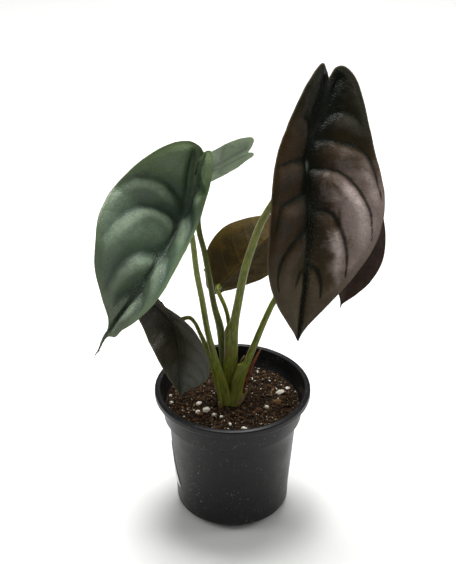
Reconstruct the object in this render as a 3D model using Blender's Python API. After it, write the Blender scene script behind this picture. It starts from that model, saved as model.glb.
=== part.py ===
"""Potted alocasia: six peltate leaves on sheathed petioles, growing from a short corm in a
black round nursery pot. Metres, +Z up, the pot stands on z = 0 and the front faces -Y."""

import math

import bmesh
import bpy
import numpy as np
from mathutils import Vector, noise

MM = 0.001
GAP = 0.3 * MM  # clearance between neighbouring bodies

# Pot
POT_HEIGHT = 108 * MM
RIM_RADIUS = 60 * MM
COLLAR_TOP_RADIUS = 54.8 * MM
COLLAR_RADIUS = 53.3 * MM
COLLAR_HEIGHT = 23.4 * MM
BODY_TOP_RADIUS = 49.9 * MM
BODY_LOW_RADIUS = 44.3 * MM
BODY_LOW_HEIGHT = 20 * MM
FLOOR_EDGE_RADIUS = 38.4 * MM
WALL = 1.2 * MM
FOOT_HEIGHT = 3 * MM
FOOT_OUTER = 38 * MM
FOOT_INNER = 34 * MM
FOOT_TURN = math.radians(-98)
FOOT_COUNT = 4
FOOT_GAP = math.radians(45)
BOSS_RADIUS = 8 * MM
FLOOR_TOP = 4.8 * MM
DRAIN_RADIUS = 3.2 * MM
DRAIN_RING = 25 * MM
DRAIN_COUNT = 6
POT_SEGMENTS = 48

# Blank sticker on the left of the pot body
LABEL_BOTTOM = 24.5 * MM
LABEL_TOP = 55 * MM
LABEL_BACK_EDGE = math.radians(160)
LABEL_FRONT_TOP = math.radians(187)
LABEL_FRONT_LOW = math.radians(206)
LABEL_THICKNESS = 0.3 * MM

# Potting mix
SOIL_LEVEL = 93 * MM
SOIL_MOUND = 3.5 * MM
SOIL_MOUND_RADIUS = 20 * MM
SOIL_SEGMENTS = 36

# Corm, mostly buried and off the pot's centre
CORM_X = -2.9 * MM
CORM_Y = 0.3 * MM
CORM_RADIUS = 10.5 * MM
CORM_BOTTOM = 70 * MM
CORM_TOP = 96.2 * MM
CORM_SEGMENTS = 20
SHIFT_FULL = 16 * MM  # soil this near the middle moves with the corm
SHIFT_NONE = 40 * MM

# Leaf blade: half outline in blade lengths, from the notch round the lobe to the tip.
# The petiole joins at the origin, x is across the blade and y runs towards the tip.
HALF_OUTLINE = (
    (0.000, -0.315), (0.022, -0.345), (0.070, -0.360), (0.128, -0.325), (0.188, -0.235),
    (0.228, -0.110), (0.243, 0.020), (0.232, 0.150), (0.203, 0.280), (0.157, 0.400),
    (0.100, 0.500), (0.050, 0.572), (0.018, 0.617), (0.000, 0.650),
)
TAIL_OUTLINE = ((0.010, 0.622), (0.005, 0.650), (0.004, 0.728), (0.003, 0.774), (0.000, 0.780))
OUTLINE_STEPS = 6
BLADE_THICKNESS = 1.2 * MM
MARGIN_THICKNESS = 0.6 * MM
BLADE_ROWS = 20
ROW_CROWDING = 1.25  # above 1 crowds the rows towards the lobes
BLADE_COLUMNS = 4
ROW_BEND = 1.5  # how far the rows sweep forward from the midrib, as side veins do
MIDRIB_REACH = 0.02  # in blade lengths
SIDE_REACH = 0.5  # in distances from the midrib

# midrib: notch, petiole point, then on to the tip, in mm. facing: which way the upper side
# looks. rise: degrees each half lifts off the midrib. roll: how fast each half curls back,
# per metre. left and right: width factors from the lobe to the tip.
LEAVES = {
    "leaf_front_left": dict(
        midrib=((-20, -33, 325), (-35, -41, 278), (-58, -77, 252), (-85, -90, 217), (-94, -88, 198)),
        facing=(-0.42, -0.68, 0.61), twist=16, rise=(53, 31), roll=(0.2, 3.7), tail=True,
        left=(0.77, 1.30, 1.46, 1.66, 1.59, 0.80), right=(1.41, 0.95, 0.57, 0.66, 1.03, 1.76),
    ),
    "leaf_front_right": dict(
        midrib=((66, 5, 363), (51, -35, 319), (52, -58, 274), (45, -84, 204)),
        facing=(0.44, -0.78, 0.45), twist=-21, rise=(24, 16), roll=(5.5, 5.8),
        left=(0.91, 0.63, 0.59, 0.86, 1.19, 1.29), right=(0.72, 0.91, 1.13, 1.29, 0.99, 0.61),
    ),
    "leaf_low_left": dict(
        midrib=((-64, 3, 191), (-45, -13, 174), (-39, -29, 151), (-39, -30, 118)),
        facing=(-0.28, -0.96, -0.04), twist=68, rise=(42, 37), roll=(9.9, 4.1),
        left=(1.18, 1.19, 0.93, 0.96, 0.79, 0.85), right=(0.90, 0.79, 0.67, 1.33, 1.62, 1.06),
    ),
    "leaf_back_left": dict(
        midrib=((11, 17, 300), (-30, 21, 274), (-62, 17, 248), (-86, 8, 201)),
        facing=(-0.37, -0.08, 0.92), twist=10, rise=(9, 10), roll=(8.0, 2.7),
        left=(1.15, 0.99, 0.67, 0.67, 0.88, 1.03), right=(1.39, 0.76, 0.65, 0.86, 0.97, 1.04),
    ),
    "leaf_back_center": dict(
        midrib=((-18, 38, 171), (-10, 33, 178), (17, 36, 208), (48, 58, 230)),
        facing=(0.06, 0.96, -0.28), twist=17, rise=(26, 44), roll=(8.1, 8.3), lobes=0.3,
        left=(1.11, 0.78, 0.57, 1.11, 1.20, 1.02), right=(0.85, 0.43, 0.27, 1.09, 1.20, 1.14),
    ),
    "leaf_back_right": dict(
        midrib=((77, 11, 303), (83, 20, 259), (88, 32, 205), (83, 31, 159)),
        facing=(0.13, 0.99, 0.02), twist=-32, rise=(24, 22), roll=(5.8, 6.0),
        left=(1.39, 0.90, 0.57, 0.82, 1.19, 1.62), right=(1.00, 1.00, 1.01, 1.01, 0.94, 0.78),
    ),
}

# Petioles: the path in mm from the corm to just short of the blade, then the radii in mm.
# The last stretch is added from the blade's own facing, so that each meets its blade square.
PETIOLE_TIP_RADIUS = 1.7
PETIOLES = {
    "petiole_front_left": dict(
        leaf="leaf_front_left",
        path=(
            (-6.0, -5.0, 97), (-9.2, -8.5, 121), (-14.4, -11, 145), (-18.7, -13.5, 167),
            (-22.5, -18.5, 198), (-26, -24, 224), (-28.6, -32, 257),
        ),
        radii=(2.8, 3.0, 2.6, 2.3, 2.2, 2.1, 2.0),
    ),
    "petiole_front_right": dict(
        leaf="leaf_front_right",
        path=(
            (-0.6, 0.4, 97), (-0.6, 0, 118), (0.3, -1, 137), (1.2, -2, 165), (4.1, -4, 186.5),
            (8.4, -8, 215), (14.4, -13, 241), (21.6, -19, 265.5), (35.9, -27, 296.4),
        ),
        radii=(3.0, 3.4, 3.5, 3.4, 3.1, 3.0, 2.8, 2.6, 2.3),
    ),
    "petiole_low_left": dict(
        leaf="leaf_low_left",
        path=(
            (-8.9, 1.2, 97), (-14.2, -1, 124), (-17.9, -2.5, 140.6), (-21.4, -4, 151),
            (-24.5, -5.5, 160), (-28.1, -7, 170), (-32.8, -8, 175.3),
        ),
        radii=(2.2, 2.2, 1.9, 1.8, 1.6, 1.5, 1.5),
    ),
    "petiole_back_left": dict(
        leaf="leaf_back_left",
        path=(
            (-5.2, 6, 97), (-6.2, 5.5, 124), (-7.8, 5, 142), (-9.9, 5.5, 160), (-14, 7, 177),
            (-17.6, 10, 200), (-20.9, 13, 219), (-25.2, 17, 239),
        ),
        radii=(2.6, 3.2, 3.1, 2.9, 2.3, 2.2, 2.1, 2.0),
    ),
    "petiole_back_center": dict(
        leaf="leaf_back_center",
        path=((1.6, 6.6, 97), (-0.6, 8.5, 120), (-2, 10.5, 134.3), (-2.7, 12.5, 155.5), (-5.4, 16, 168.6)),
        radii=(2.1, 2.1, 2.0, 1.8, 1.6),
    ),
    "petiole_back_right": dict(
        leaf="leaf_back_right",
        path=(
            (2.8, -5.2, 97), (5.7, -4.5, 115.5), (9.8, -3, 128.3), (14, -1, 139),
            (24.3, 3.5, 166), (33, 6.5, 185), (50, 8, 217), (70, 7, 246),
        ),
        radii=(2.6, 3.0, 2.9, 2.7, 2.3, 2.2, 2.1, 2.0),
    ),
}
PETIOLE_SIDES = 10
PETIOLE_STEPS = 3

# A dry, orange-brown rest of an older petiole
DRY_PATH = ((7.4, -0.6, 97.2), (9.5, 1, 107), (12.6, 2.6, 117), (16.5, 5, 127), (21.5, 8.5, 136))
DRY_RADII = (1.3, 1.8, 1.7, 1.4, 0.8)

# Loose pieces on the soil: centre x and y, half sizes along, across and up (mm), turn (degrees)
PERLITE = (
    (-26.3, -14.8, 2.1, 1.8, 1.5, 20), (-20.2, -13.7, 3.1, 2.3, 1.8, 35), (-25.9, -3.5, 2.3, 1.7, 1.4, 10),
    (-48.2, 8.0, 1.4, 1.2, 1.0, 0), (-47.2, -2.8, 1.6, 1.3, 1.1, 40), (-14.2, -18.5, 1.5, 1.2, 1.1, 0),
    (-8.5, -21.7, 1.5, 1.3, 1.2, 60), (-2.0, -30.6, 1.5, 1.2, 1.1, 90), (8.6, -36.3, 2.1, 1.4, 1.2, -10),
    (37.1, 11.2, 3.6, 2.3, 1.7, 35), (42.6, 17.6, 2.2, 1.7, 1.4, 20), (26.2, -7.6, 1.9, 1.6, 1.3, 30),
)
BARK = (
    (19.6, -12.8, 3.1, 2.6, 1.7, 25), (34.3, -2.8, 3.6, 2.6, 1.6, -15), (-12.0, 34.0, 3.6, 2.0, 1.4, 35),
    (10.0, 38.5, 3.0, 2.2, 1.4, -15),
)
CHIP_ROUGHNESS = 0.16
CHIP_DETAIL = 2

# Colour, roughness and metallic of each material
MATERIALS = {
    "pot_plastic": ((0.020, 0.021, 0.023), 0.42, 0.0),
    "sticker_paper": ((0.80, 0.80, 0.79), 0.60, 0.0),
    "potting_mix": ((0.050, 0.030, 0.020), 0.95, 0.0),
    "corm_skin": ((0.220, 0.130, 0.060), 0.80, 0.0),
    "petiole_green": ((0.150, 0.190, 0.045), 0.45, 0.0),
    "leaf_grey_green": ((0.120, 0.200, 0.140), 0.40, 0.0),
    "leaf_copper": ((0.045, 0.032, 0.026), 0.30, 0.0),
    "leaf_olive": ((0.070, 0.062, 0.040), 0.45, 0.0),
    "dry_tissue": ((0.260, 0.100, 0.030), 0.75, 0.0),
    "perlite_white": ((0.700, 0.670, 0.590), 0.90, 0.0),
    "bark_brown": ((0.160, 0.090, 0.040), 0.90, 0.0),
}
LEAF_MATERIAL = {
    "leaf_front_left": "leaf_grey_green",
    "leaf_front_right": "leaf_copper",
    "leaf_low_left": "leaf_olive",
    "leaf_back_left": "leaf_grey_green",
    "leaf_back_center": "leaf_olive",
    "leaf_back_right": "leaf_copper",
}


def clear_scene():
    for obj in list(bpy.data.objects):
        bpy.data.objects.remove(obj, do_unlink=True)


def make_material(name):
    colour, roughness, metallic = MATERIALS[name]
    material = bpy.data.materials.new(name)
    material.use_nodes = True
    shader = material.node_tree.nodes["Principled BSDF"]
    shader.inputs["Base Color"].default_value = (*colour, 1.0)
    shader.inputs["Roughness"].default_value = roughness
    shader.inputs["Metallic"].default_value = metallic
    return material


def solid(name, points, faces, material, smooth=True):
    """One closed body with its faces turned outward."""
    built = bmesh.new()
    corners = [built.verts.new(Vector(p)) for p in points]
    for face in faces:
        built.faces.new([corners[i] for i in face])
    bmesh.ops.recalc_face_normals(built, faces=built.faces)
    if built.calc_volume(signed=True) < 0:
        bmesh.ops.reverse_faces(built, faces=built.faces)
    for face in built.faces:
        face.smooth = smooth
    mesh = bpy.data.meshes.new(name)
    built.to_mesh(mesh)
    built.free()
    obj = bpy.data.objects.new(name, mesh)
    bpy.context.scene.collection.objects.link(obj)
    mesh.materials.append(bpy.data.materials[material])
    return obj


def lathe(name, profile, segments, material):
    """Turns a profile of (radius, height) about Z. A radius of 0 makes a pole."""
    points = []
    rings = []
    for radius, height in profile:
        if radius == 0:
            rings.append([len(points)] * segments)
            points.append((0, 0, height))
            continue
        rings.append([len(points) + i for i in range(segments)])
        for i in range(segments):
            angle = 2 * math.pi * i / segments
            points.append((radius * math.cos(angle), radius * math.sin(angle), height))
    faces = []
    for low, high in zip(rings[:-1], rings[1:]):
        for i in range(segments):
            j = (i + 1) % segments
            corners = [low[i], low[j], high[j], high[i]]
            face = list(dict.fromkeys(corners))
            if len(face) > 2:
                faces.append(face)
    return solid(name, points, faces, material)


def cut(obj, cutters):
    """Subtracts each cutter, then hides it."""
    for cutter in cutters:
        cutter.hide_render = True
        cutter.display_type = "WIRE"
        boolean = obj.modifiers.new("cut_" + cutter.name, "BOOLEAN")
        boolean.operation = "DIFFERENCE"
        boolean.solver = "EXACT"
        boolean.object = cutter


def pot_body_radius(height):
    """Outer radius of the tapered pot body at this height."""
    top = POT_HEIGHT - COLLAR_HEIGHT
    share = (height - BODY_LOW_HEIGHT) / (top - BODY_LOW_HEIGHT)
    return BODY_LOW_RADIUS + share * (BODY_TOP_RADIUS - BODY_LOW_RADIUS)


def pot_profile():
    ledge = POT_HEIGHT - COLLAR_HEIGHT
    outside = [
        (0, 0),
        (BOSS_RADIUS, 0),
        (BOSS_RADIUS + 0.6 * MM, FOOT_HEIGHT),
        (FOOT_INNER, FOOT_HEIGHT),
        (FOOT_INNER + 0.5 * MM, 0),
        (FOOT_OUTER - 0.5 * MM, 0),
        (FOOT_OUTER, FOOT_HEIGHT - 0.4 * MM),
        (FLOOR_EDGE_RADIUS + 0.8 * MM, FOOT_HEIGHT + 0.3 * MM),
        (41.4 * MM, 4.7 * MM),
        (43.1 * MM, 7.6 * MM),
        (44.0 * MM, 12.5 * MM),
        (BODY_LOW_RADIUS, BODY_LOW_HEIGHT),
        (BODY_TOP_RADIUS, ledge - 0.8 * MM),
        (COLLAR_RADIUS - 0.6 * MM, ledge - 0.6 * MM),
        (COLLAR_RADIUS, ledge),
        (COLLAR_TOP_RADIUS, POT_HEIGHT - 6.4 * MM),
        (RIM_RADIUS - 2.3 * MM, POT_HEIGHT - 5.8 * MM),
        (RIM_RADIUS - 0.4 * MM, POT_HEIGHT - 4.7 * MM),
        (RIM_RADIUS, POT_HEIGHT - 2.8 * MM),
        (RIM_RADIUS - 0.8 * MM, POT_HEIGHT - 0.7 * MM),
        (RIM_RADIUS - 2.2 * MM, POT_HEIGHT),
    ]
    inside = [
        (RIM_RADIUS - 3.9 * MM, POT_HEIGHT - 0.7 * MM),
        (RIM_RADIUS - 4.9 * MM, POT_HEIGHT - 2.2 * MM),
        (COLLAR_TOP_RADIUS - WALL, POT_HEIGHT - 6.4 * MM),
        (COLLAR_RADIUS - WALL, ledge + 1.0 * MM),
        (BODY_TOP_RADIUS - WALL, ledge + 0.6 * MM),
        (BODY_LOW_RADIUS - WALL, BODY_LOW_HEIGHT),
        (42.6 * MM, 12.8 * MM),
        (41.0 * MM, 7.6 * MM),
        (38.6 * MM, FLOOR_TOP),
        (0, FLOOR_TOP),
    ]
    return outside + inside


def wedge(name, middle, spread, radii, heights):
    """A block between two radii and two angles, used as a cutter."""
    points = []
    for height in heights:
        for radius in radii:
            for side in (-1, 0, 1):
                angle = middle + side * spread / 2
                points.append((radius * math.cos(angle), radius * math.sin(angle), height))
    faces = [
        (0, 3, 4, 1), (1, 4, 5, 2), (6, 7, 10, 9), (7, 8, 11, 10),
        (0, 1, 7, 6), (1, 2, 8, 7), (3, 9, 10, 4), (4, 10, 11, 5),
        (0, 6, 9, 3), (2, 5, 11, 8),
    ]
    return solid(name, points, faces, "pot_plastic", smooth=False)


def drain(name, angle):
    """An upright pin through the floor of the pot."""
    sides = 12
    centre = Vector((DRAIN_RING * math.cos(angle), DRAIN_RING * math.sin(angle), 0))
    points = []
    for height in (FOOT_HEIGHT - 2 * MM, FLOOR_TOP + 2 * MM):
        for i in range(sides):
            turn = 2 * math.pi * i / sides
            offset = Vector((DRAIN_RADIUS * math.cos(turn), DRAIN_RADIUS * math.sin(turn), height))
            points.append(centre + offset)
    faces = [tuple(range(sides)), tuple(range(sides, 2 * sides))]
    for i in range(sides):
        j = (i + 1) % sides
        faces.append((i, j, sides + j, sides + i))
    return solid(name, points, faces, "pot_plastic", smooth=False)


def make_pot():
    pot = lathe("pot", pot_profile(), POT_SEGMENTS, "pot_plastic")
    cutters = []
    for i in range(FOOT_COUNT):
        middle = FOOT_TURN + (i + 0.5) * 2 * math.pi / FOOT_COUNT
        radii = (FOOT_INNER - 3 * MM, FOOT_OUTER + 3 * MM)
        heights = (-2 * MM, FOOT_HEIGHT - 0.5 * MM)
        cutters.append(wedge(f"foot_gap_{i}", middle, FOOT_GAP, radii, heights))
    for i in range(DRAIN_COUNT):
        cutters.append(drain(f"drain_{i}", FOOT_TURN + i * 2 * math.pi / DRAIN_COUNT))
    cut(pot, cutters)


def make_label():
    """A thin curved sheet just off the pot body, its front edge slanted."""
    columns = 8
    rows = 4
    layers = []
    for lift in (GAP, GAP + LABEL_THICKNESS):
        layer = []
        for j in range(rows + 1):
            share = j / rows
            height = LABEL_BOTTOM + share * (LABEL_TOP - LABEL_BOTTOM)
            front = LABEL_FRONT_LOW + share * (LABEL_FRONT_TOP - LABEL_FRONT_LOW)
            radius = pot_body_radius(height) + lift
            for i in range(columns + 1):
                angle = LABEL_BACK_EDGE + (front - LABEL_BACK_EDGE) * i / columns
                layer.append((radius * math.cos(angle), radius * math.sin(angle), height))
        layers.append(layer)
    wide = columns + 1
    count = wide * (rows + 1)
    faces = []
    for j in range(rows):
        for i in range(columns):
            a = j * wide + i
            faces.append((a, a + 1, a + wide + 1, a + wide))
            faces.append((count + a, count + a + wide, count + a + wide + 1, count + a + 1))
    border = [i for i in range(columns)]
    border += [j * wide + columns for j in range(rows)]
    border += [rows * wide + i for i in range(columns, 0, -1)]
    border += [j * wide for j in range(rows, 0, -1)]
    for a, b in zip(border, border[1:] + border[:1]):
        faces.append((a, b, count + b, count + a))
    solid("pot_label", layers[0] + layers[1], faces, "sticker_paper")


def soil_height(radius):
    return SOIL_LEVEL + SOIL_MOUND * math.exp(-((radius / SOIL_MOUND_RADIUS) ** 2))


def shift_core(obj):
    """Moves what is near the pot's axis over to the corm's own axis, fading out further off."""
    for vert in obj.data.vertices:
        radius = math.hypot(vert.co.x, vert.co.y)
        share = (SHIFT_NONE - radius) / (SHIFT_NONE - SHIFT_FULL)
        share = max(0.0, min(1.0, share))
        vert.co.x += CORM_X * share
        vert.co.y += CORM_Y * share


def make_soil():
    ledge = POT_HEIGHT - COLLAR_HEIGHT
    clear = WALL + 2 * GAP
    well = CORM_RADIUS + GAP
    profile = [
        (0, FLOOR_TOP + GAP),
        (37.8 * MM, FLOOR_TOP + GAP),
        (40.2 * MM, 8.0 * MM),
        (BODY_LOW_RADIUS - clear - 0.4 * MM, 13 * MM),
        (BODY_LOW_RADIUS - clear, BODY_LOW_HEIGHT),
        (BODY_TOP_RADIUS - clear, ledge + 1.0 * MM),
        (COLLAR_RADIUS - clear, ledge + 1.6 * MM),
        (52.5 * MM, SOIL_LEVEL - 0.4 * MM),
    ]
    for radius in (47 * MM, 40 * MM, 31 * MM, 23 * MM, 16 * MM, well + 0.6 * MM):
        profile.append((radius, soil_height(radius)))
    profile += [(well, CORM_TOP - 3 * MM), (well, CORM_BOTTOM + 4 * MM)]
    profile += [(6 * MM, CORM_BOTTOM - GAP), (0, CORM_BOTTOM - GAP)]
    shift_core(lathe("potting_mix", profile, SOIL_SEGMENTS, "potting_mix"))


def make_corm():
    profile = [
        (0, CORM_BOTTOM),
        (5.4 * MM, CORM_BOTTOM + 0.4 * MM),
        (CORM_RADIUS - 1.2 * MM, CORM_BOTTOM + 5.5 * MM),
        (CORM_RADIUS - 0.2 * MM, CORM_BOTTOM + 12 * MM),
        (CORM_RADIUS - 0.2 * MM, CORM_TOP - 3.4 * MM),
        (CORM_RADIUS - 0.8 * MM, CORM_TOP - 0.6 * MM),
        (CORM_RADIUS - 1.8 * MM, CORM_TOP),
        (0, CORM_TOP),
    ]
    shift_core(lathe("corm", profile, CORM_SEGMENTS, "corm_skin"))


def catmull(control, steps):
    """A smooth curve through the control points, as an array."""
    control = np.asarray(control, float)
    padded = np.vstack([2 * control[0] - control[1], control, 2 * control[-1] - control[-2]])
    share = np.linspace(0, 1, steps, endpoint=False)[:, None]
    pieces = []
    for a, b, c, d in zip(padded[:-3], padded[1:-2], padded[2:-1], padded[3:]):
        square = (2 * a - 5 * b + 4 * c - d) * share**2
        cubic = (3 * b - a - 3 * c + d) * share**3
        pieces.append(0.5 * (2 * b + (c - a) * share + square + cubic))
    pieces.append(control[-1:])
    return np.vstack(pieces)


def unit(vectors):
    return vectors / np.linalg.norm(vectors, axis=-1, keepdims=True)


class Blade:
    """Bends a flat leaf into place: place() takes metres across and along the blade."""

    def __init__(self, spec):
        steps = 24
        self.spec = spec
        self.line = catmull(np.array(spec["midrib"]) * MM, steps)
        lengths = np.linalg.norm(np.diff(self.line, axis=0), axis=1)
        self.along = np.concatenate([[0], np.cumsum(lengths)])
        self.length = self.along[-1]
        self.joint = self.along[steps]

    def on_line(self, distance):
        distance = np.clip(distance, 0, self.length)
        return np.stack([np.interp(distance, self.along, self.line[:, k]) for k in range(3)], -1)

    def heading(self, distance, reach):
        """Direction of the midrib over the stretch within reach of each distance."""
        return unit(self.on_line(distance + reach) - self.on_line(distance - reach))

    def frame(self, y, x=0.0):
        """Midrib point, and the directions along, across and out of the blade there.

        The blade's sides follow a longer stretch of the midrib than its middle does, so
        that they don't fold up where the midrib bends sharply.
        """
        wanted = np.asarray(y, float) + self.joint
        distance = np.clip(wanted, 0, self.length)
        near = MIDRIB_REACH * self.length
        forward = self.heading(distance, np.maximum(near, SIDE_REACH * np.abs(x)))
        facing = unit(np.array(self.spec["facing"], float))
        out = unit(facing - forward * (forward @ facing)[..., None])
        across = np.cross(out, forward)
        turn = (math.radians(self.spec["twist"]) * (distance / self.length - 0.35))[..., None]
        out = out * np.cos(turn) + across * np.sin(turn)
        across = np.cross(out, forward)
        # The lobes reach back past the notch, straight on from the end of the midrib.
        past = (wanted - distance)[..., None]
        base = self.on_line(distance) + self.heading(distance, near) * past
        return base, forward, across, out

    def place(self, x, y):
        """Points on the blade's middle surface and the surface's own outward direction."""
        x = np.asarray(x, float)
        base, _, across, out = self.frame(y, x)
        right = x > 0
        rise = np.radians(np.where(right, self.spec["rise"][1], self.spec["rise"][0]))
        roll = np.where(right, self.spec["roll"][1], self.spec["roll"][0])
        angle = rise - roll * np.abs(x)
        sideways = (np.sin(rise) - np.sin(angle)) / roll
        upward = (np.cos(angle) - np.cos(rise)) / roll
        sign = np.sign(x)
        points = base + across * (sign * sideways)[..., None] + out * upward[..., None]
        # At the midrib the two halves meet, so there the surface looks straight out.
        tilt = angle * np.minimum(np.abs(x) / (2 * MM), 1)
        normal = out * np.cos(tilt)[..., None] - across * (sign * np.sin(tilt))[..., None]
        return points, normal

    def margin(self, side):
        """Half outline in metres from the notch to the tip."""
        tail = self.spec.get("tail", False)
        half = list(HALF_OUTLINE[:-2]) + list(TAIL_OUTLINE) if tail else list(HALF_OUTLINE)
        half = np.array(half)
        half[half[:, 1] < 0, 1] *= self.spec.get("lobes", 1.0)
        factors = self.spec["right" if side > 0 else "left"]
        stations = np.linspace(0, 1, len(factors))
        width = np.interp(np.arange(12) / 11, stations, factors)
        half[1:13, 0] *= width
        curve = catmull(half, OUTLINE_STEPS)
        curve[:, 0] = np.maximum(curve[:, 0], 0)
        return curve * self.length / (half[-1, 1] - half[0, 1])


def rows_of(curve, count):
    """Outline points along its length, closer together near the lobe, without the two ends."""
    lengths = np.concatenate([[0], np.cumsum(np.linalg.norm(np.diff(curve, axis=0), axis=1))])
    wanted = lengths[-1] * (np.arange(1, count) / count) ** ROW_CROWDING
    return np.stack([np.interp(wanted, lengths, curve[:, k]) for k in range(2)], -1)


def make_leaf(name, spec):
    blade = Blade(spec)
    left = rows_of(blade.margin(-1), BLADE_ROWS)
    right = rows_of(blade.margin(1), BLADE_ROWS)
    notch = -blade.joint
    tip = blade.length - blade.joint
    flat = [(0.0, notch)]
    edge = [1.0]
    for k in range(BLADE_ROWS - 1):
        share = ((k + 1) / BLADE_ROWS) ** ROW_CROWDING
        middle = notch + (tip - notch) * share**ROW_BEND
        for column in range(-BLADE_COLUMNS, BLADE_COLUMNS + 1):
            reach = abs(column) / BLADE_COLUMNS
            side = right[k] if column > 0 else left[k]
            x = math.copysign(side[0], column) * reach
            y = middle + (side[1] - middle) * reach
            flat.append((x, y))
            edge.append(reach)
    flat.append((0.0, tip))
    edge.append(1.0)
    flat = np.array(flat)
    edge = np.array(edge)
    points, normal = blade.place(flat[:, 0], flat[:, 1])
    half = 0.5 * (BLADE_THICKNESS + (MARGIN_THICKNESS - BLADE_THICKNESS) * edge**3)
    upper = points + normal * half[:, None]
    lower = points - normal * half[:, None]
    wide = 2 * BLADE_COLUMNS + 1
    count = len(flat)
    last = count - 1
    surface = []
    for k in range(BLADE_ROWS - 2):
        for i in range(wide - 1):
            a = 1 + k * wide + i
            surface.append((a, a + 1, a + wide + 1, a + wide))
    final = 1 + (BLADE_ROWS - 2) * wide
    for i in range(wide - 1):
        surface.append((0, 2 + i, 1 + i))
        surface.append((last, final + i, final + i + 1))
    border = [0]
    border += [k * wide + wide for k in range(BLADE_ROWS - 1)]
    border.append(last)
    border += [1 + k * wide for k in range(BLADE_ROWS - 2, -1, -1)]
    faces = list(surface)
    faces += [tuple(count + i for i in reversed(face)) for face in surface]
    for a, b in zip(border, border[1:] + border[:1]):
        faces.append((a, b, count + b, count + a))
    solid(name, np.vstack([upper, lower]).tolist(), faces, LEAF_MATERIAL[name])
    return blade


def tube(name, path, radii, material, sides, steps):
    """A closed round rod along a smooth path (metres)."""
    line = catmull(path, steps)
    width = np.interp(np.arange(len(line)) / steps, np.arange(len(radii)), radii)
    ahead = np.gradient(line, axis=0)
    ahead = unit(ahead)
    side = Vector((1, 0, 0))
    points = []
    for centre, direction, radius in zip(line, ahead, width):
        direction = Vector(direction)
        side = (side - direction * side.dot(direction)).normalized()
        other = direction.cross(side)
        for i in range(sides):
            angle = 2 * math.pi * i / sides
            offset = side * math.cos(angle) + other * math.sin(angle)
            points.append(Vector(centre) + offset * float(radius))
    count = len(line)
    faces = [tuple(range(sides)), tuple(range((count - 1) * sides, count * sides))]
    for k in range(count - 1):
        for i in range(sides):
            j = (i + 1) % sides
            a = k * sides
            faces.append((a + i, a + j, a + sides + j, a + sides + i))
    return solid(name, points, faces, material)


def make_petiole(name, spec, blade):
    joint, _, _, out = blade.frame(np.array([0.0]))
    joint = joint[0]
    out = out[0]
    near = joint - out * (BLADE_THICKNESS / 2 + 2.5 * GAP)
    before = joint - out * 7 * MM
    path = [np.array(p) * MM for p in spec["path"]] + [before, near]
    radii = [r * MM for r in spec["radii"]] + [PETIOLE_TIP_RADIUS * MM] * 2
    tube(name, path, radii, "petiole_green", PETIOLE_SIDES, PETIOLE_STEPS)


def make_chip(name, spec, seed, material):
    """A rough lump resting just above the soil."""
    x, y, along, across, up, turn = spec
    built = bmesh.new()
    bmesh.ops.create_icosphere(built, subdivisions=CHIP_DETAIL, radius=1.0)
    turn = math.radians(turn)
    inner = math.hypot(x, y) * MM - along * MM + CORM_X
    rest = soil_height(inner) + 1.5 * GAP
    lowest = 1 + CHIP_ROUGHNESS
    points = []
    for vert in built.verts:
        rough = 1 + CHIP_ROUGHNESS * noise.noise(vert.co * 1.7 + Vector((seed * 7.3, 0, 0)))
        local = vert.co * rough
        px = local.x * along
        py = local.y * across
        points.append(
            (
                (x + px * math.cos(turn) - py * math.sin(turn)) * MM,
                (y + px * math.sin(turn) + py * math.cos(turn)) * MM,
                rest + (local.z + lowest) * up * MM,
            )
        )
    faces = [tuple(v.index for v in face.verts) for face in built.faces]
    built.free()
    solid(name, points, faces, material)


def main():
    clear_scene()
    for name in MATERIALS:
        make_material(name)
    make_pot()
    make_label()
    make_soil()
    make_corm()
    blades = {name: make_leaf(name, spec) for name, spec in LEAVES.items()}
    for name, spec in PETIOLES.items():
        make_petiole(name, spec, blades[spec["leaf"]])
    dry = [np.array(p) * MM for p in DRY_PATH]
    tube("dry_petiole_stub", dry, [r * MM for r in DRY_RADII], "dry_tissue", 8, 2)
    for i, spec in enumerate(PERLITE):
        make_chip(f"perlite_{i + 1:02d}", spec, i, "perlite_white")
    for i, spec in enumerate(BARK):
        make_chip(f"bark_chip_{i + 1}", spec, 20 + i, "bark_brown")


main()
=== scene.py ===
"""Visual model of a potted alocasia: six quilted peltate leaves on sheathed petioles, rising from
a short corm in a black nursery pot. Metres, +Z up, the front faces -Y, as in the frame."""

import math
import random

import bmesh
import bpy
import numpy as np
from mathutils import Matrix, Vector, noise


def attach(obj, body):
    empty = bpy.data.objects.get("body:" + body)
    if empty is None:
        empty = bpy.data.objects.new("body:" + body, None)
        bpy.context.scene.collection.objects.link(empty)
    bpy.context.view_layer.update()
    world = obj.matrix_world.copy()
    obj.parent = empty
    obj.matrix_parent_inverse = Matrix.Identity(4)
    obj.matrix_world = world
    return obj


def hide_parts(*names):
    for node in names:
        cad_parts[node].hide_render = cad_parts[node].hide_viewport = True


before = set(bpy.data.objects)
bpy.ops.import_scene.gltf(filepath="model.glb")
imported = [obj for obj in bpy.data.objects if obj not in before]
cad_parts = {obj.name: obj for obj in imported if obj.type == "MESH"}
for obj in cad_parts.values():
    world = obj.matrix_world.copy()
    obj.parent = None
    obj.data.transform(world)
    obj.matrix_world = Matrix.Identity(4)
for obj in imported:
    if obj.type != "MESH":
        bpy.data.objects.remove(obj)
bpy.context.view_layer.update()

MM = 0.001
BODY = "root"

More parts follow.
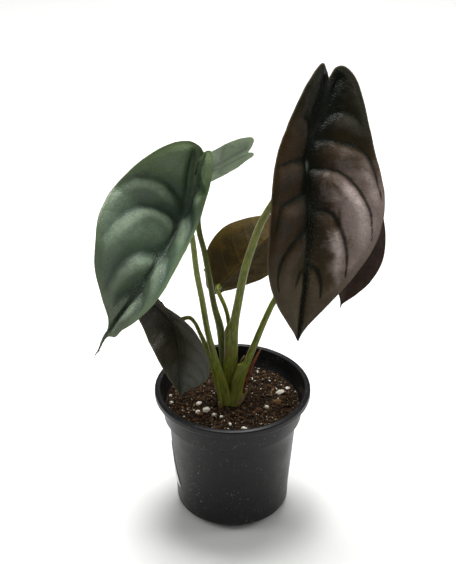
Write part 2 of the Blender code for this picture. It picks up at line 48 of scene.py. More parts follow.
# Pot, as in the frame
POT_HEIGHT = 108 * MM
RIM_RADIUS = 60 * MM
COLLAR_TOP_RADIUS = 54.8 * MM
COLLAR_RADIUS = 53.3 * MM
COLLAR_HEIGHT = 23.4 * MM
BODY_TOP_RADIUS = 49.9 * MM
BODY_LOW_RADIUS = 44.3 * MM
BODY_LOW_HEIGHT = 20 * MM
WALL = 1.2 * MM
FOOT_HEIGHT = 3 * MM
FOOT_OUTER = 38 * MM
FOOT_INNER = 34 * MM
FOOT_TURN = math.radians(-98)
FOOT_COUNT = 4
FOOT_GAP = math.radians(45)
BOSS_RADIUS = 8 * MM
FLOOR_TOP = 4.8 * MM
DRAIN_RADIUS = 3.2 * MM
DRAIN_RING = 25 * MM
DRAIN_COUNT = 6
POT_SEGMENTS = 192

# Blank sticker
LABEL_BOTTOM = 24.5 * MM
LABEL_TOP = 55 * MM
LABEL_BACK_EDGE = math.radians(160)
LABEL_FRONT_TOP = math.radians(187)
LABEL_FRONT_LOW = math.radians(206)
LABEL_THICKNESS = 0.25 * MM

# Potting mix
SOIL_LEVEL = 93 * MM
SOIL_MOUND = 1.2 * MM
SOIL_MOUND_RADIUS = 20 * MM
SOIL_ROUGH = 2.2 * MM
SOIL_GRAIN = 1.0 * MM
CORM_X = -2.9 * MM
CORM_Y = 0.3 * MM
CORM_TOP = 95.0 * MM
CORM_BOTTOM = 70 * MM
CORM_RADIUS = 10.5 * MM

# Leaf blades: half outline in blade lengths, from the notch round the lobe to the tip
HALF_OUTLINE = (
    (0.000, -0.315), (0.022, -0.345), (0.070, -0.360), (0.128, -0.325), (0.188, -0.235),
    (0.228, -0.110), (0.243, 0.020), (0.232, 0.150), (0.203, 0.280), (0.157, 0.400),
    (0.100, 0.500), (0.050, 0.572), (0.018, 0.617), (0.000, 0.650),
)
TAIL_OUTLINE = ((0.032, 0.622), (0.013, 0.655), (0.006, 0.728), (0.003, 0.774), (0.000, 0.780))
OUTLINE_STEPS = 6
ROW_CROWDING = 1.25
ROW_BEND = 1.5
MIDRIB_REACH = 0.02  # in blade lengths
SIDE_REACH = 0.5  # in distances from the midrib
BLADE_ROWS = 150
BLADE_COLUMNS = 34
SHEET = 0.75 * MM  # thickness of the blade between the veins
SHEET_EDGE = 0.35 * MM
QUILT_SINK = 0.45  # share of the quilting that lies below the smooth blade
PILLOW_BEHIND = 10 * MM  # how gently a pillow falls to the vein in front of it
PILLOW_AHEAD = 4.2 * MM  # and how steeply it rises from the vein behind it
HIGHLIGHT_AWAY = 6.5 * MM  # how far in front of a vein the painted highlight on its pillow's crest runs
HIGHLIGHT_WIDE = 4.5 * MM
VEIN_FADING = 0.75  # share of its depth that a side vein has lost at its outer end
RIB_VALLEY = 3.4 * MM  # half width of the valley along the midrib and the lobes' veins
RIB_GROOVE = 0.5 * MM  # depth of the fine groove in that valley
WAVE_HEIGHT = 0.9 * MM
CRINKLE_HEIGHT = 0.22 * MM
UNDER_RIB = 1.1 * MM  # how far the midrib stands out below, and a side vein
UNDER_VEIN = 0.45 * MM
CREASE = 1.6 * MM  # half width over which the two halves round into the midrib

# Each blade as in the frame, but for some margins and lobe ends, whose shape differs a little here.
# quilting is its depth in mm, and veins are the side veins of its left and right halves. A vein is
# a line of points across and along the blade in blade lengths, or four numbers: where it leaves
# the midrib and how far forward it sweeps, in blade lengths, how late it bends, and how much of
# the half's width it spans. These four are for halves with plain, evenly spaced veins.
VEINS = (
    (-0.02, 0.27, 1.9, 0.95), (0.13, 0.29, 1.5, 0.95), (0.27, 0.25, 1.4, 0.95),
    (0.41, 0.17, 1.4, 0.95), (0.52, 0.09, 1.4, 0.95),
)
LEAVES = {
    "leaf_front_left": dict(
        midrib=((-20, -33, 325), (-35, -41, 278), (-58, -77, 252), (-85, -90, 217), (-94, -88, 198)),
        facing=(-0.42, -0.68, 0.61), twist=16, rise=(53, 31), roll=(0.2, 3.7), tail=True,
        left=(1.12, 1.31, 1.40, 1.47, 1.51, 1.73, 1.68, 1.23, 0.46),
        right=(1.41, 0.95, 0.57, 0.66, 1.03, 1.76),
        quilting=5.0, veins=(
            (
                ((0, -0.03), (0.03, -0.067), (0.081, -0.111), (0.127, -0.143), (0.192, -0.152),
                 (0.256, -0.131), (0.299, -0.074), (0.33, 0.0)),
                ((0, 0.03), (0.035, 0.012), (0.068, 0.002), (0.136, 0.008), (0.20, 0.054),
                 (0.239, 0.145), (0.267, 0.218), (0.28, 0.30)),
                ((0, 0.20), (0.05, 0.213), (0.098, 0.245), (0.128, 0.29), (0.148, 0.34),
                 (0.145, 0.386), (0.135, 0.44)),
                ((0, 0.37), (0.03, 0.385), (0.055, 0.42), (0.06, 0.47)),
            ),
            ((-0.04, 0.30, 1.9, 0.95), (0.18, 0.26, 1.5, 0.95), (0.36, 0.18, 1.4, 0.95)),
        ),
    ),
    "leaf_front_right": dict(
        midrib=((66, 5, 363), (51, -35, 319), (52, -58, 274), (45, -84, 204)),
        facing=(0.44, -0.78, 0.45), twist=-21, rise=(24, 16), roll=(5.5, 5.8), lobe_lift=(0.012, -0.017),
        left=(0.91, 0.63, 0.59, 0.86, 1.19, 1.29), right=(0.72, 0.91, 1.13, 1.29, 0.99, 0.61),
        quilting=4.0, veins=(
            (
                ((0.02, -0.12), (0.05, -0.14), (0.09, -0.13)),
                ((0, 0), (0.04, 0.005), (0.082, 0.015), (0.16, 0.038)),
                ((0, 0.115), (0.064, 0.133), (0.131, 0.155), (0.158, 0.197), (0.17, 0.26)),
                ((0, 0.25), (0.04, 0.27), (0.077, 0.301), (0.12, 0.358), (0.133, 0.427), (0.12, 0.48)),
                ((0, 0.40), (0.03, 0.42), (0.05, 0.47)),
            ),
            (
                ((0.015, -0.15), (0.028, -0.167), (0.054, -0.206), (0.099, -0.23), (0.146, -0.224),
                 (0.18, -0.20)),
                ((0.014, -0.082), (0.06, -0.10), (0.112, -0.106), (0.176, -0.11), (0.23, -0.083),
                 (0.264, 0.003), (0.282, 0.107), (0.285, 0.16)),
                ((0, 0.03), (0.03, 0.024), (0.091, 0.022), (0.141, 0.041), (0.191, 0.103),
                 (0.231, 0.188), (0.237, 0.227), (0.235, 0.29)),
                ((0, 0.18), (0.036, 0.181), (0.081, 0.193), (0.118, 0.25), (0.14, 0.31),
                 (0.147, 0.352), (0.145, 0.42)),
                ((0, 0.38), (0.04, 0.40), (0.06, 0.45), (0.062, 0.50)),
            ),
        ),
    ),
    "leaf_low_left": dict(
        midrib=((-64, 3, 191), (-45, -13, 174), (-39, -29, 151), (-39, -30, 118)),
        facing=(-0.28, -0.96, -0.04), twist=68, rise=(42, 37), roll=(9.9, 4.1),
        left=(1.18, 1.19, 0.93, 0.96, 0.79, 0.85), right=(0.90, 0.79, 0.67, 1.33, 1.62, 1.06),
        quilting=1.3, veins=(VEINS, VEINS),
    ),
    "leaf_back_left": dict(
        midrib=((11, 17, 300), (-30, 21, 274), (-62, 17, 248), (-86, 8, 201)),
        facing=(-0.37, -0.08, 0.92), twist=10, rise=(9, 10), roll=(8.0, 2.7), lobe_lift=(0, -0.012),
        left=(1.15, 0.99, 0.67, 0.67, 0.88, 1.03), right=(1.95, 0.95, 0.65, 0.86, 0.97, 1.04),
        quilting=1.7, veins=(VEINS, VEINS),
    ),
    "leaf_back_center": dict(
        midrib=((-18, 38, 171), (-10, 33, 178), (17, 36, 208), (48, 58, 230)),
        facing=(0.06, 0.96, -0.28), twist=17, rise=(26, 44), roll=(8.1, 8.3), lobes=0.3,
        left=(1.11, 0.78, 0.57, 1.11, 1.20, 1.02), right=(0.85, 0.43, 0.27, 1.09, 1.20, 1.14),
        quilting=1.1, veins=(VEINS, VEINS),
    ),
    "leaf_back_right": dict(
        midrib=((77, 11, 303), (83, 20, 259), (88, 32, 205), (83, 31, 159)),
        facing=(0.13, 0.99, 0.02), twist=-32, rise=(24, 22), roll=(5.8, 6.0),
        left=(1.39, 0.90, 0.57, 0.82, 1.19, 1.62), right=(1.00, 1.00, 1.01, 1.01, 0.94, 0.78),
        quilting=1.5, veins=(VEINS, VEINS),
    ),
}

# Petioles: path and radii in mm as in the frame. sheath is the share of the length that is
# sheathed, wing how far the sheath's free edge stands out at the soil and at its top, in
# radii, and edge_to the way that edge points, in degrees round +Z.
PETIOLES = {
    "petiole_front_left": dict(
        leaf="leaf_front_left", sheath=0.20, wing=(1.15, 0.10), edge_to=-15, flare=0.45,
        path=(
            (-6.0, -5.0, 97), (-9.2, -8.5, 121), (-14.4, -11, 145), (-18.7, -13.5, 167),
            (-22.5, -18.5, 198), (-26, -24, 224), (-28.6, -32, 257),
        ),
        radii=(2.8, 3.0, 2.6, 2.3, 2.2, 2.1, 2.0),
    ),
    "petiole_front_right": dict(
        leaf="leaf_front_right", sheath=0.31, wing=(0.9, 1.05), edge_to=190, flare=0.1,
        path=(
            (-0.6, 0.4, 97), (-0.6, 0, 118), (0.3, -1, 137), (1.2, -2, 165), (4.1, -4, 186.5),
            (8.4, -8, 215), (14.4, -13, 241), (21.6, -19, 265.5), (35.9, -27, 296.4),
        ),
        radii=(3.0, 3.4, 3.5, 3.4, 3.1, 3.0, 2.8, 2.6, 2.3),
    ),
    "petiole_low_left": dict(
        leaf="leaf_low_left", sheath=0.40, wing=(0.6, 0.2), edge_to=-80, flare=0.2,
        path=(
            (-8.9, 1.2, 97), (-14.2, -1, 124), (-17.9, -2.5, 140.6), (-21.4, -4, 151),
            (-24.5, -5.5, 160), (-28.1, -7, 170), (-32.8, -8, 175.3),
        ),
        radii=(2.2, 2.2, 1.9, 1.8, 1.6, 1.5, 1.5),
    ),
    "petiole_back_left": dict(
        leaf="leaf_back_left", sheath=0.33, wing=(0.7, 0.85), edge_to=-12, flare=0.2,
        path=(
            (-5.2, 6, 97), (-6.2, 5.5, 124), (-7.8, 5, 142), (-9.9, 5.5, 160), (-14, 7, 177),
            (-17.6, 10, 200), (-20.9, 13, 219), (-25.2, 17, 239),
        ),
        radii=(2.6, 3.2, 3.1, 2.9, 2.3, 2.2, 2.1, 2.0),
    ),
    "petiole_back_center": dict(
        leaf="leaf_back_center", sheath=0.40, wing=(0.5, 0.4), edge_to=-100, flare=0.2,
        path=((1.6, 6.6, 97), (-0.6, 8.5, 120), (-2, 10.5, 134.3), (-2.7, 12.5, 155.5), (-5.4, 16, 168.6)),
        radii=(2.1, 2.1, 2.0, 1.8, 1.6),
    ),
    "petiole_back_right": dict(
        leaf="leaf_back_right", sheath=0.20, wing=(1.15, 1.25), edge_to=195, flare=0.35,
        path=(
            (2.8, -5.2, 97), (5.7, -4.5, 115.5), (9.8, -3, 128.3), (14, -1, 139),
            (24.3, 3.5, 166), (33, 6.5, 185), (50, 8, 217), (70, 7, 246),
        ),
        radii=(2.6, 3.0, 2.9, 2.7, 2.3, 2.2, 2.1, 2.0),
    ),
}
PETIOLE_TIP_RADIUS = 1.7
PETIOLE_SIDES = 36
PETIOLE_STEPS = 14

# Shrivelled petiole: its path as in the frame, and its radii, thinner than there, in mm
DRY_PATH = ((7.4, -0.6, 97.2), (9.5, 1, 107), (12.6, 2.6, 117), (16.5, 5, 127), (21.5, 8.5, 136))
DRY_RADII = (1.0, 1.4, 1.3, 1.1, 0.7)

# Loose pieces on the soil: centre, half sizes and turn, as in the frame
PERLITE = (
    (-26.3, -14.8, 2.1, 1.8, 1.5, 20), (-20.2, -13.7, 3.1, 2.3, 1.8, 35), (-25.9, -3.5, 2.3, 1.7, 1.4, 10),
    (-48.2, 8.0, 1.4, 1.2, 1.0, 0), (-47.2, -2.8, 1.6, 1.3, 1.1, 40), (-14.2, -18.5, 1.5, 1.2, 1.1, 0),
    (-8.5, -21.7, 1.5, 1.3, 1.2, 60), (-2.0, -30.6, 1.5, 1.2, 1.1, 90), (8.6, -36.3, 2.1, 1.4, 1.2, -10),
    (37.1, 11.2, 3.6, 2.3, 1.7, 35), (42.6, 17.6, 2.2, 1.7, 1.4, 20), (26.2, -7.6, 1.9, 1.6, 1.3, 30),
)
BARK = (
    (19.6, -12.8, 3.1, 2.6, 1.7, 25), (34.3, -2.8, 3.6, 2.6, 1.6, -15), (-12.0, 34.0, 3.6, 2.0, 1.4, 35),
    (10.0, 38.5, 3.0, 2.2, 1.4, -15),
)

# Camera and light
CAMERA_PLACE = (-0.0035, -0.9812, 0.7989)
CAMERA_DOWN = math.radians(31.34)
CAMERA_LENS = 99.3
SENSOR_HEIGHT = 36


def srgb(code):
    """A hex colour as the linear numbers that shaders take."""
    parts = [int(code[i : i + 2], 16) / 255 for i in (0, 2, 4)]
    linear = [p / 12.92 if p <= 0.04045 else ((p + 0.055) / 1.055) ** 2.4 for p in parts]
    return (*linear, 1.0)


class Shader:
    """One Principled material, built up from small node steps."""

    def __init__(self, name, **sockets):
        self.material = bpy.data.materials.new(name)
        self.material.use_nodes = True
        self.tree = self.material.node_tree
        self.surface = self.tree.nodes["Principled BSDF"]
        for socket, value in sockets.items():
            self.surface.inputs[socket.replace("_", " ")].default_value = value
        self.place = self.tree.nodes.new("ShaderNodeTexCoord").outputs["Object"]

    def feed(self, socket, source):
        if isinstance(source, bpy.types.NodeSocket):
            self.tree.links.new(source, socket)
        else:
            socket.default_value = source

    def set(self, name, source):
        self.feed(self.surface.inputs[name], source)

    def value(self, name, output="Fac"):
        """A number, or a Vector, stored on the points of the piece."""
        node = self.tree.nodes.new("ShaderNodeAttribute")
        node.attribute_name = name
        return node.outputs[output]

    def noise(self, size, detail=3.0, roughness=0.55, along=None, warp=0.0):
        """Noise whose features are about this many metres across."""
        node = self.tree.nodes.new("ShaderNodeTexNoise")
        self.feed(node.inputs["Vector"], along or self.place)
        node.inputs["Scale"].default_value = 1 / size
        node.inputs["Detail"].default_value = detail
        node.inputs["Roughness"].default_value = roughness
        node.inputs["Distortion"].default_value = warp
        return node.outputs["Fac"]

    def cells(self, size, feature="DISTANCE_TO_EDGE"):
        """Distance to the edges, or with F1 to the centres, of cells about this many metres wide."""
        node = self.tree.nodes.new("ShaderNodeTexVoronoi")
        node.feature = feature
        self.feed(node.inputs["Vector"], self.place)
        node.inputs["Scale"].default_value = 1 / size
        return node.outputs["Distance"]

    def fade(self, source, low, high, start=0.0, end=1.0):
        """Smooth step of source from low to high, going from start to end."""
        node = self.tree.nodes.new("ShaderNodeMapRange")
        node.interpolation_type = "SMOOTHSTEP"
        self.feed(node.inputs["Value"], source)
        node.inputs["From Min"].default_value = low
        node.inputs["From Max"].default_value = high
        node.inputs["To Min"].default_value = start
        node.inputs["To Max"].default_value = end
        return node.outputs["Result"]

    def math(self, operation, first, second=0.0):
        node = self.tree.nodes.new("ShaderNodeMath")
        node.operation = operation
        self.feed(node.inputs[0], first)
        self.feed(node.inputs[1], second)
        return node.outputs["Value"]

    def times(self, first, second):
        return self.math("MULTIPLY", first, second)

    def plus(self, first, second):
        return self.math("ADD", first, second)

    def mix(self, share, first, second, blend="MIX"):
        node = self.tree.nodes.new("ShaderNodeMix")
        node.data_type = "RGBA"
        node.blend_type = blend
        self.feed(node.inputs["Factor"], share)
        colour_a, colour_b = [socket for socket in node.inputs if socket.type == "RGBA"]
        self.feed(colour_a, first)
        self.feed(colour_b, second)
        return [socket for socket in node.outputs if socket.type == "RGBA"][0]

    def bump(self, height, depth, under=None, strength=1.0):
        """Relief this many metres deep, on top of the relief under it."""
        node = self.tree.nodes.new("ShaderNodeBump")
        node.inputs["Strength"].default_value = strength
        node.inputs["Distance"].default_value = depth
        self.feed(node.inputs["Height"], height)
        if under is not None:
            self.feed(node.inputs["Normal"], under)
        return node.outputs["Normal"]


def piece(name, points, faces, material, replaced=(), values=None, vectors=None):
    """One closed piece with its faces outward, riding on the object and holding point values."""
    built = bmesh.new()
    corners = [built.verts.new(p) for p in np.asarray(points, float).tolist()]
    for face in faces:
        built.faces.new([corners[i] for i in face])
    bmesh.ops.recalc_face_normals(built, faces=built.faces)
    if built.calc_volume(signed=True) < 0:
        bmesh.ops.reverse_faces(built, faces=built.faces)
    mesh = bpy.data.meshes.new(name)
    built.to_mesh(mesh)
    built.free()
    mesh.polygons.foreach_set("use_smooth", [True] * len(mesh.polygons))
    for key, numbers in (values or {}).items():
        layer = mesh.attributes.new(key, "FLOAT", "POINT")
        layer.data.foreach_set("value", np.asarray(numbers, np.float32))
    for key, numbers in (vectors or {}).items():
        layer = mesh.attributes.new(key, "FLOAT_VECTOR", "POINT")
        layer.data.foreach_set("vector", np.asarray(numbers, np.float32).ravel())
    mesh.materials.append(material)
    obj = bpy.data.objects.new(name, mesh)
    bpy.context.scene.collection.objects.link(obj)
    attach(obj, BODY)
    if replaced:
        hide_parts(*replaced)
    return obj


def catmull(control, steps):
    """A smooth curve through the control points, as an array."""
    control = np.asarray(control, float)
    padded = np.vstack([2 * control[0] - control[1], control, 2 * control[-1] - control[-2]])
    share = np.linspace(0, 1, steps, endpoint=False)[:, None]
    parts = []
    for a, b, c, d in zip(padded[:-3], padded[1:-2], padded[2:-1], padded[3:]):
        cubic = (3 * b - a - 3 * c + d) * share**3
        square = (2 * a - 5 * b + 4 * c - d) * share**2
        parts.append(0.5 * (2 * b + (c - a) * share + square + cubic))
    parts.append(control[-1:])
    return np.vstack(parts)


def unit(vectors):
    return vectors / np.linalg.norm(vectors, axis=-1, keepdims=True)


def smooth_step(values, low, high):
    share = np.clip((np.asarray(values, float) - low) / (high - low), 0, 1)
    return share * share * (3 - 2 * share)


def fractal(points, size, octaves=3, seed=0.0):
    """Noise from -1 to 1 at each point, with features about this many metres across."""
    shift = Vector((seed * 3.1, seed * 1.7, seed * 2.3))
    return np.array([noise.fractal(Vector(p) / size + shift, 1.0, 2.0, octaves) for p in points])


class Blade:
    """Bends a flat leaf into place: place() takes metres across and along the blade."""

    def __init__(self, spec):
        steps = 24
        self.spec = spec
        self.line = catmull(np.array(spec["midrib"]) * MM, steps)
        lengths = np.linalg.norm(np.diff(self.line, axis=0), axis=1)
        self.along = np.concatenate([[0], np.cumsum(lengths)])
        self.length = self.along[-1]
        self.joint = self.along[steps]

    def on_line(self, distance):
        distance = np.clip(distance, 0, self.length)
        return np.stack([np.interp(distance, self.along, self.line[:, k]) for k in range(3)], -1)

    def heading(self, distance, reach):
        """Direction of the midrib over the stretch within reach of each distance."""
        return unit(self.on_line(distance + reach) - self.on_line(distance - reach))

    def frame(self, y, x=0.0):
        """Midrib point, and the directions along, across and out of the blade there.

        The blade's sides follow a longer stretch of the midrib than its middle does, so
        that they don't fold up where the midrib bends sharply.
        """
        wanted = np.asarray(y, float) + self.joint
        distance = np.clip(wanted, 0, self.length)
        near = MIDRIB_REACH * self.length
        forward = self.heading(distance, np.maximum(near, SIDE_REACH * np.abs(x)))
        facing = unit(np.array(self.spec["facing"], float))
        out = unit(facing - forward * (forward @ facing)[..., None])
        across = np.cross(out, forward)
        turn = (math.radians(self.spec["twist"]) * (distance / self.length - 0.35))[..., None]
        out = out * np.cos(turn) + across * np.sin(turn)
        across = np.cross(out, forward)
        # The lobes reach back past the notch, straight on from the end of the midrib.
        past = (wanted - distance)[..., None]
        base = self.on_line(distance) + self.heading(distance, near) * past
        return base, forward, across, out

    def place(self, x, y):
        """Points on the blade's middle surface and the surface's own outward direction."""
        x = np.asarray(x, float)
        base, _, across, out = self.frame(y, x)
        right = x > 0
        rise = np.radians(np.where(right, self.spec["rise"][1], self.spec["rise"][0]))
        roll = np.where(right, self.spec["roll"][1], self.spec["roll"][0])
        angle = rise - roll * np.abs(x)
        sideways = (np.sin(rise) - np.sin(angle)) / roll
        soft = np.sqrt(x * x + CREASE * CREASE) - CREASE
        upward = (np.cos(rise - roll * soft) - np.cos(rise)) / roll
        sign = np.sign(x)
        points = base + across * (sign * sideways)[..., None] + out * upward[..., None]
        tilt = angle * np.minimum(np.abs(x) / (2 * CREASE), 1)
        normal = out * np.cos(tilt)[..., None] - across * (sign * np.sin(tilt))[..., None]
        return points, normal

    def margin(self, side):
        """Half outline in metres from the notch to the tip."""
        tail = self.spec.get("tail", False)
        half = list(HALF_OUTLINE[:-2]) + list(TAIL_OUTLINE) if tail else list(HALF_OUTLINE)
        half = np.array(half)
        half[half[:, 1] < 0, 1] *= self.spec.get("lobes", 1.0)
        half[1:4, 1] += self.spec.get("lobe_lift", (0, 0))[1 if side > 0 else 0]
        factors = self.spec["right" if side > 0 else "left"]
        stations = np.linspace(0, 1, len(factors))
        width = np.interp(np.arange(12) / 11, stations, factors)
        half[1:13, 0] *= width
        curve = catmull(half, OUTLINE_STEPS)
        curve[:, 0] = np.maximum(curve[:, 0], 0)
        return curve * self.length / (half[-1, 1] - half[0, 1])

    def costa(self, side):
        """The strong vein that runs back from the petiole into one lobe."""
        edge = self.margin(side)
        lobe = edge[np.argmin(edge[:, 1])]
        wide = edge[:, 0].max()
        share = np.linspace(0, 1, 16)
        x = (0.30 * lobe[0] + 0.06 * wide) * np.sin(share * math.pi / 2)
        y = lobe[1] * 0.86 * share
        return np.stack([x, y], -1)

    def laterals(self, side):
        """The side veins of one half, as lines of flat points in metres."""
        edge = self.margin(side)
        front = edge[np.argmin(edge[:, 1]) :]
        share = np.linspace(0, 1, 20)
        listed = self.spec["veins"][1 if side > 0 else 0]
        if isinstance(listed[0][0], tuple):
            return [catmull(np.array(vein, float), 5) * self.length for vein in listed]
        veins = []
        for start, lead, power, span in listed:
            y = (start + lead * share**power) * self.length
            width = np.interp(y, front[:, 1], front[:, 0])
            veins.append(np.stack([span * width * np.sin(share * math.pi / 2), y], -1))
        costa = self.costa(side)
        root = costa[len(costa) // 2]
        y_end = 0.64 * edge[:, 1].min()
        width = np.interp(y_end, front[:, 1], front[:, 0])
        x = root[0] + (0.93 * width - root[0]) * np.sin(share * math.pi / 2)
        y = root[1] + (y_end - root[1]) * share**1.6 + 0.01 * self.length * share
        veins.append(np.stack([x, y], -1))
        return veins


def line_measure(points, line):
    """Distance in metres from flat points to a broken line, which side, and how far along it.

    The side runs from -1 behind the line to 1 in front of it, towards the blade's tip.
    """
    best = np.full(len(points), 1.0)
    side = np.zeros(len(points))
    passed = np.zeros(len(points))
    for k, (start, end) in enumerate(zip(line[:-1], line[1:])):
        step = end - start
        share = np.clip(((points - start) @ step) / (step @ step + 1e-12), 0, 1)
        gap = points - start - share[:, None] * step
        distance = np.hypot(gap[:, 0], gap[:, 1])
        ahead = step[0] * gap[:, 1] - step[1] * gap[:, 0]
        nearer = distance < best
        best = np.where(nearer, distance, best)
        side = np.where(nearer, ahead / (distance * np.hypot(*step) + 1e-12), side)
        passed = np.where(nearer, (k + share) / (len(line) - 1), passed)
    return best, side, passed


def line_distance(points, line):
    """Distance in metres from flat points to a broken line."""
    return line_measure(points, line)[0]


def rows_of(curve, count):
    """Outline points along its length, closer together near the lobe, without the two ends."""
    lengths = np.concatenate([[0], np.cumsum(np.linalg.norm(np.diff(curve, axis=0), axis=1))])
    wanted = lengths[-1] * (np.arange(1, count) / count) ** ROW_CROWDING
    return np.stack([np.interp(wanted, lengths, curve[:, k]) for k in range(2)], -1)


def blade_grid(blade):
    """Flat points of a blade in rows across it, with one point at the notch and one at the tip."""
    left = rows_of(blade.margin(-1), BLADE_ROWS)
    right = rows_of(blade.margin(1), BLADE_ROWS)
    notch = -blade.joint
    tip = blade.length - blade.joint
    share = (np.arange(1, BLADE_ROWS) / BLADE_ROWS) ** ROW_CROWDING
    middle = notch + (tip - notch) * share**ROW_BEND
    columns = np.arange(-BLADE_COLUMNS, BLADE_COLUMNS + 1) / BLADE_COLUMNS
    side = np.where(columns[None, :, None] > 0, right[:, None, :], left[:, None, :])
    reach = np.abs(columns)[None, :]
    x = np.sign(columns)[None, :] * side[:, :, 0] * reach
    y = middle[:, None] + (side[:, :, 1] - middle[:, None]) * reach
    inner = np.stack([x, y], -1).reshape(-1, 2)
    return np.vstack([[(0.0, notch)], inner, [(0.0, tip)]])


def blade_faces(rows, wide):
    """Faces of the upper surface and the loop of points round its border."""
    last = 1 + rows * wide
    surface = []
    for k in range(rows - 1):
        for i in range(wide - 1):
            a = 1 + k * wide + i
            surface.append((a, a + 1, a + wide + 1, a + wide))
    final = 1 + (rows - 1) * wide
    for i in range(wide - 1):
        surface.append((0, 2 + i, 1 + i))
        surface.append((last, final + i, final + i + 1))
    border = [0]
    border += [k * wide + wide for k in range(rows)]
    border.append(last)
    border += [1 + k * wide for k in range(rows - 1, -1, -1)]
    return surface, border


def stitch(border, count):
    """Faces that join the border of one layer of points to the layer that is count points on."""
    return [(a, b, count + b, count + a) for a, b in zip(border, border[1:] + border[:1])]


def sheet_faces(columns, rows):
    """Faces of a thin closed sheet, from two layers of points in rows."""
    wide = columns + 1
    count = wide * (rows + 1)
    faces = []
    for j in range(rows):
        for i in range(columns):
            a = j * wide + i
            faces.append((a, a + 1, a + wide + 1, a + wide))
            faces.append((count + a, count + a + wide, count + a + wide + 1, count + a + 1))
    border = list(range(columns))
    border += [j * wide + columns for j in range(rows)]
    border += [rows * wide + i for i in range(columns, 0, -1)]
    border += [j * wide for j in range(rows, 0, -1)]
    return faces + stitch(border, count)


def blade_relief(blade, flat, points, seed):
    """Lift of the upper side off the smooth blade, thickening under it, and the point values."""
    depth = blade.spec["quilting"] * MM
    right = flat[:, 0] > 0
    mirrored = np.stack([np.abs(flat[:, 0]), flat[:, 1]], -1)
    lateral = np.full(len(flat), 1.0)
    pillow = np.ones(len(flat))
    highlight_crest = np.zeros(len(flat))
    costa = np.full(len(flat), 1.0)
    margin = np.full(len(flat), 1.0)
    for side, mine in ((-1, ~right), (1, right)):
        half = mirrored[mine]
        nearest = np.full(len(half), 1.0)
        rise = np.ones(len(half))
        lit = np.zeros(len(half))
        for vein in blade.laterals(side):
            distance, ahead, passed = line_measure(half, vein)
            weight = 1 - VEIN_FADING * passed**2
            wide = PILLOW_BEHIND + (PILLOW_AHEAD - PILLOW_BEHIND) * 0.5 * (1 + ahead)
            rise *= 1 - weight * np.exp(-((distance / wide) ** 1.4))
            # The band just in front of each vein where the pillow gets a painted highlight
            highlight_band = np.exp(-(((distance - HIGHLIGHT_AWAY) / HIGHLIGHT_WIDE) ** 2))
            lit = np.maximum(lit, weight * highlight_band * np.clip(ahead, 0, 1))
            nearest = np.minimum(nearest, distance / weight)
        lateral[mine] = nearest
        pillow[mine] = rise
        highlight_crest[mine] = lit
        costa[mine] = line_distance(half, blade.costa(side))
        margin[mine] = line_distance(half, blade.margin(side))
    rib = np.where(flat[:, 1] > 0, np.abs(flat[:, 0]), np.hypot(flat[:, 0], flat[:, 1]))
    strong = np.minimum(rib, costa)
    vein = np.minimum(lateral, strong)
    pillow *= 1 - 0.8 * np.exp(-((strong / RIB_VALLEY) ** 1.6))
    inside = smooth_step(margin, 0.3 * MM, 7 * MM)
    wave = fractal(points, 17 * MM, 2, seed)
    crinkle = fractal(points, 5 * MM, 3, seed + 5)
    lift = depth * (pillow - QUILT_SINK) * inside
    lift -= RIB_GROOVE * np.exp(-((strong / (1.0 * MM)) ** 2))
    uneven = WAVE_HEIGHT * wave + CRINKLE_HEIGHT * crinkle * inside
    lift += uneven * smooth_step(strong, 0, 8 * MM)
    tip_share = np.clip(flat[:, 1] / (blade.length - blade.joint), 0, 1)
    under = UNDER_RIB * (1 - 0.75 * tip_share) * np.exp(-((strong / (1.1 * MM)) ** 2))
    under += UNDER_VEIN * np.exp(-((lateral / (0.7 * MM)) ** 2))
    under *= smooth_step(margin, 0, 3 * MM)
    values = {
        "vein": vein / MM,
        "lateral": lateral / MM,
        "strong": strong / MM,
        "margin": margin / MM,
        "across": flat[:, 0] / blade.length,
        "forward": flat[:, 1] / blade.length,
        "hub": np.hypot(flat[:, 0], 0.35 * (flat[:, 1] - 3 * MM)) / MM,
        "pillow": pillow * inside,
        "highlight_crest": highlight_crest * inside,
    }
    return lift, under, margin, values


def make_leaf(name, spec, material, seed):
    blade = Blade(spec)
    flat = blade_grid(blade)
    points, normal = blade.place(flat[:, 0], flat[:, 1])
    lift, under, margin, values = blade_relief(blade, flat, points, seed)
    half = 0.5 * (SHEET_EDGE + (SHEET - SHEET_EDGE) * smooth_step(margin, 0, 4 * MM))
    upper = points + normal * (lift + half)[:, None]
    lower = points + normal * (lift - half - under)[:, None]
    surface, border = blade_faces(BLADE_ROWS - 1, 2 * BLADE_COLUMNS + 1)
    count = len(flat)
    faces = list(surface)
    faces += [tuple(count + i for i in reversed(face)) for face in surface]
    faces += stitch(border, count)
    both = {key: np.concatenate([numbers, numbers]) for key, numbers in values.items()}
    both["upper"] = np.concatenate([np.ones(count), np.zeros(count)])
    piece(name + "_blade", np.vstack([upper, lower]), faces, material, (name,), both)
    return blade


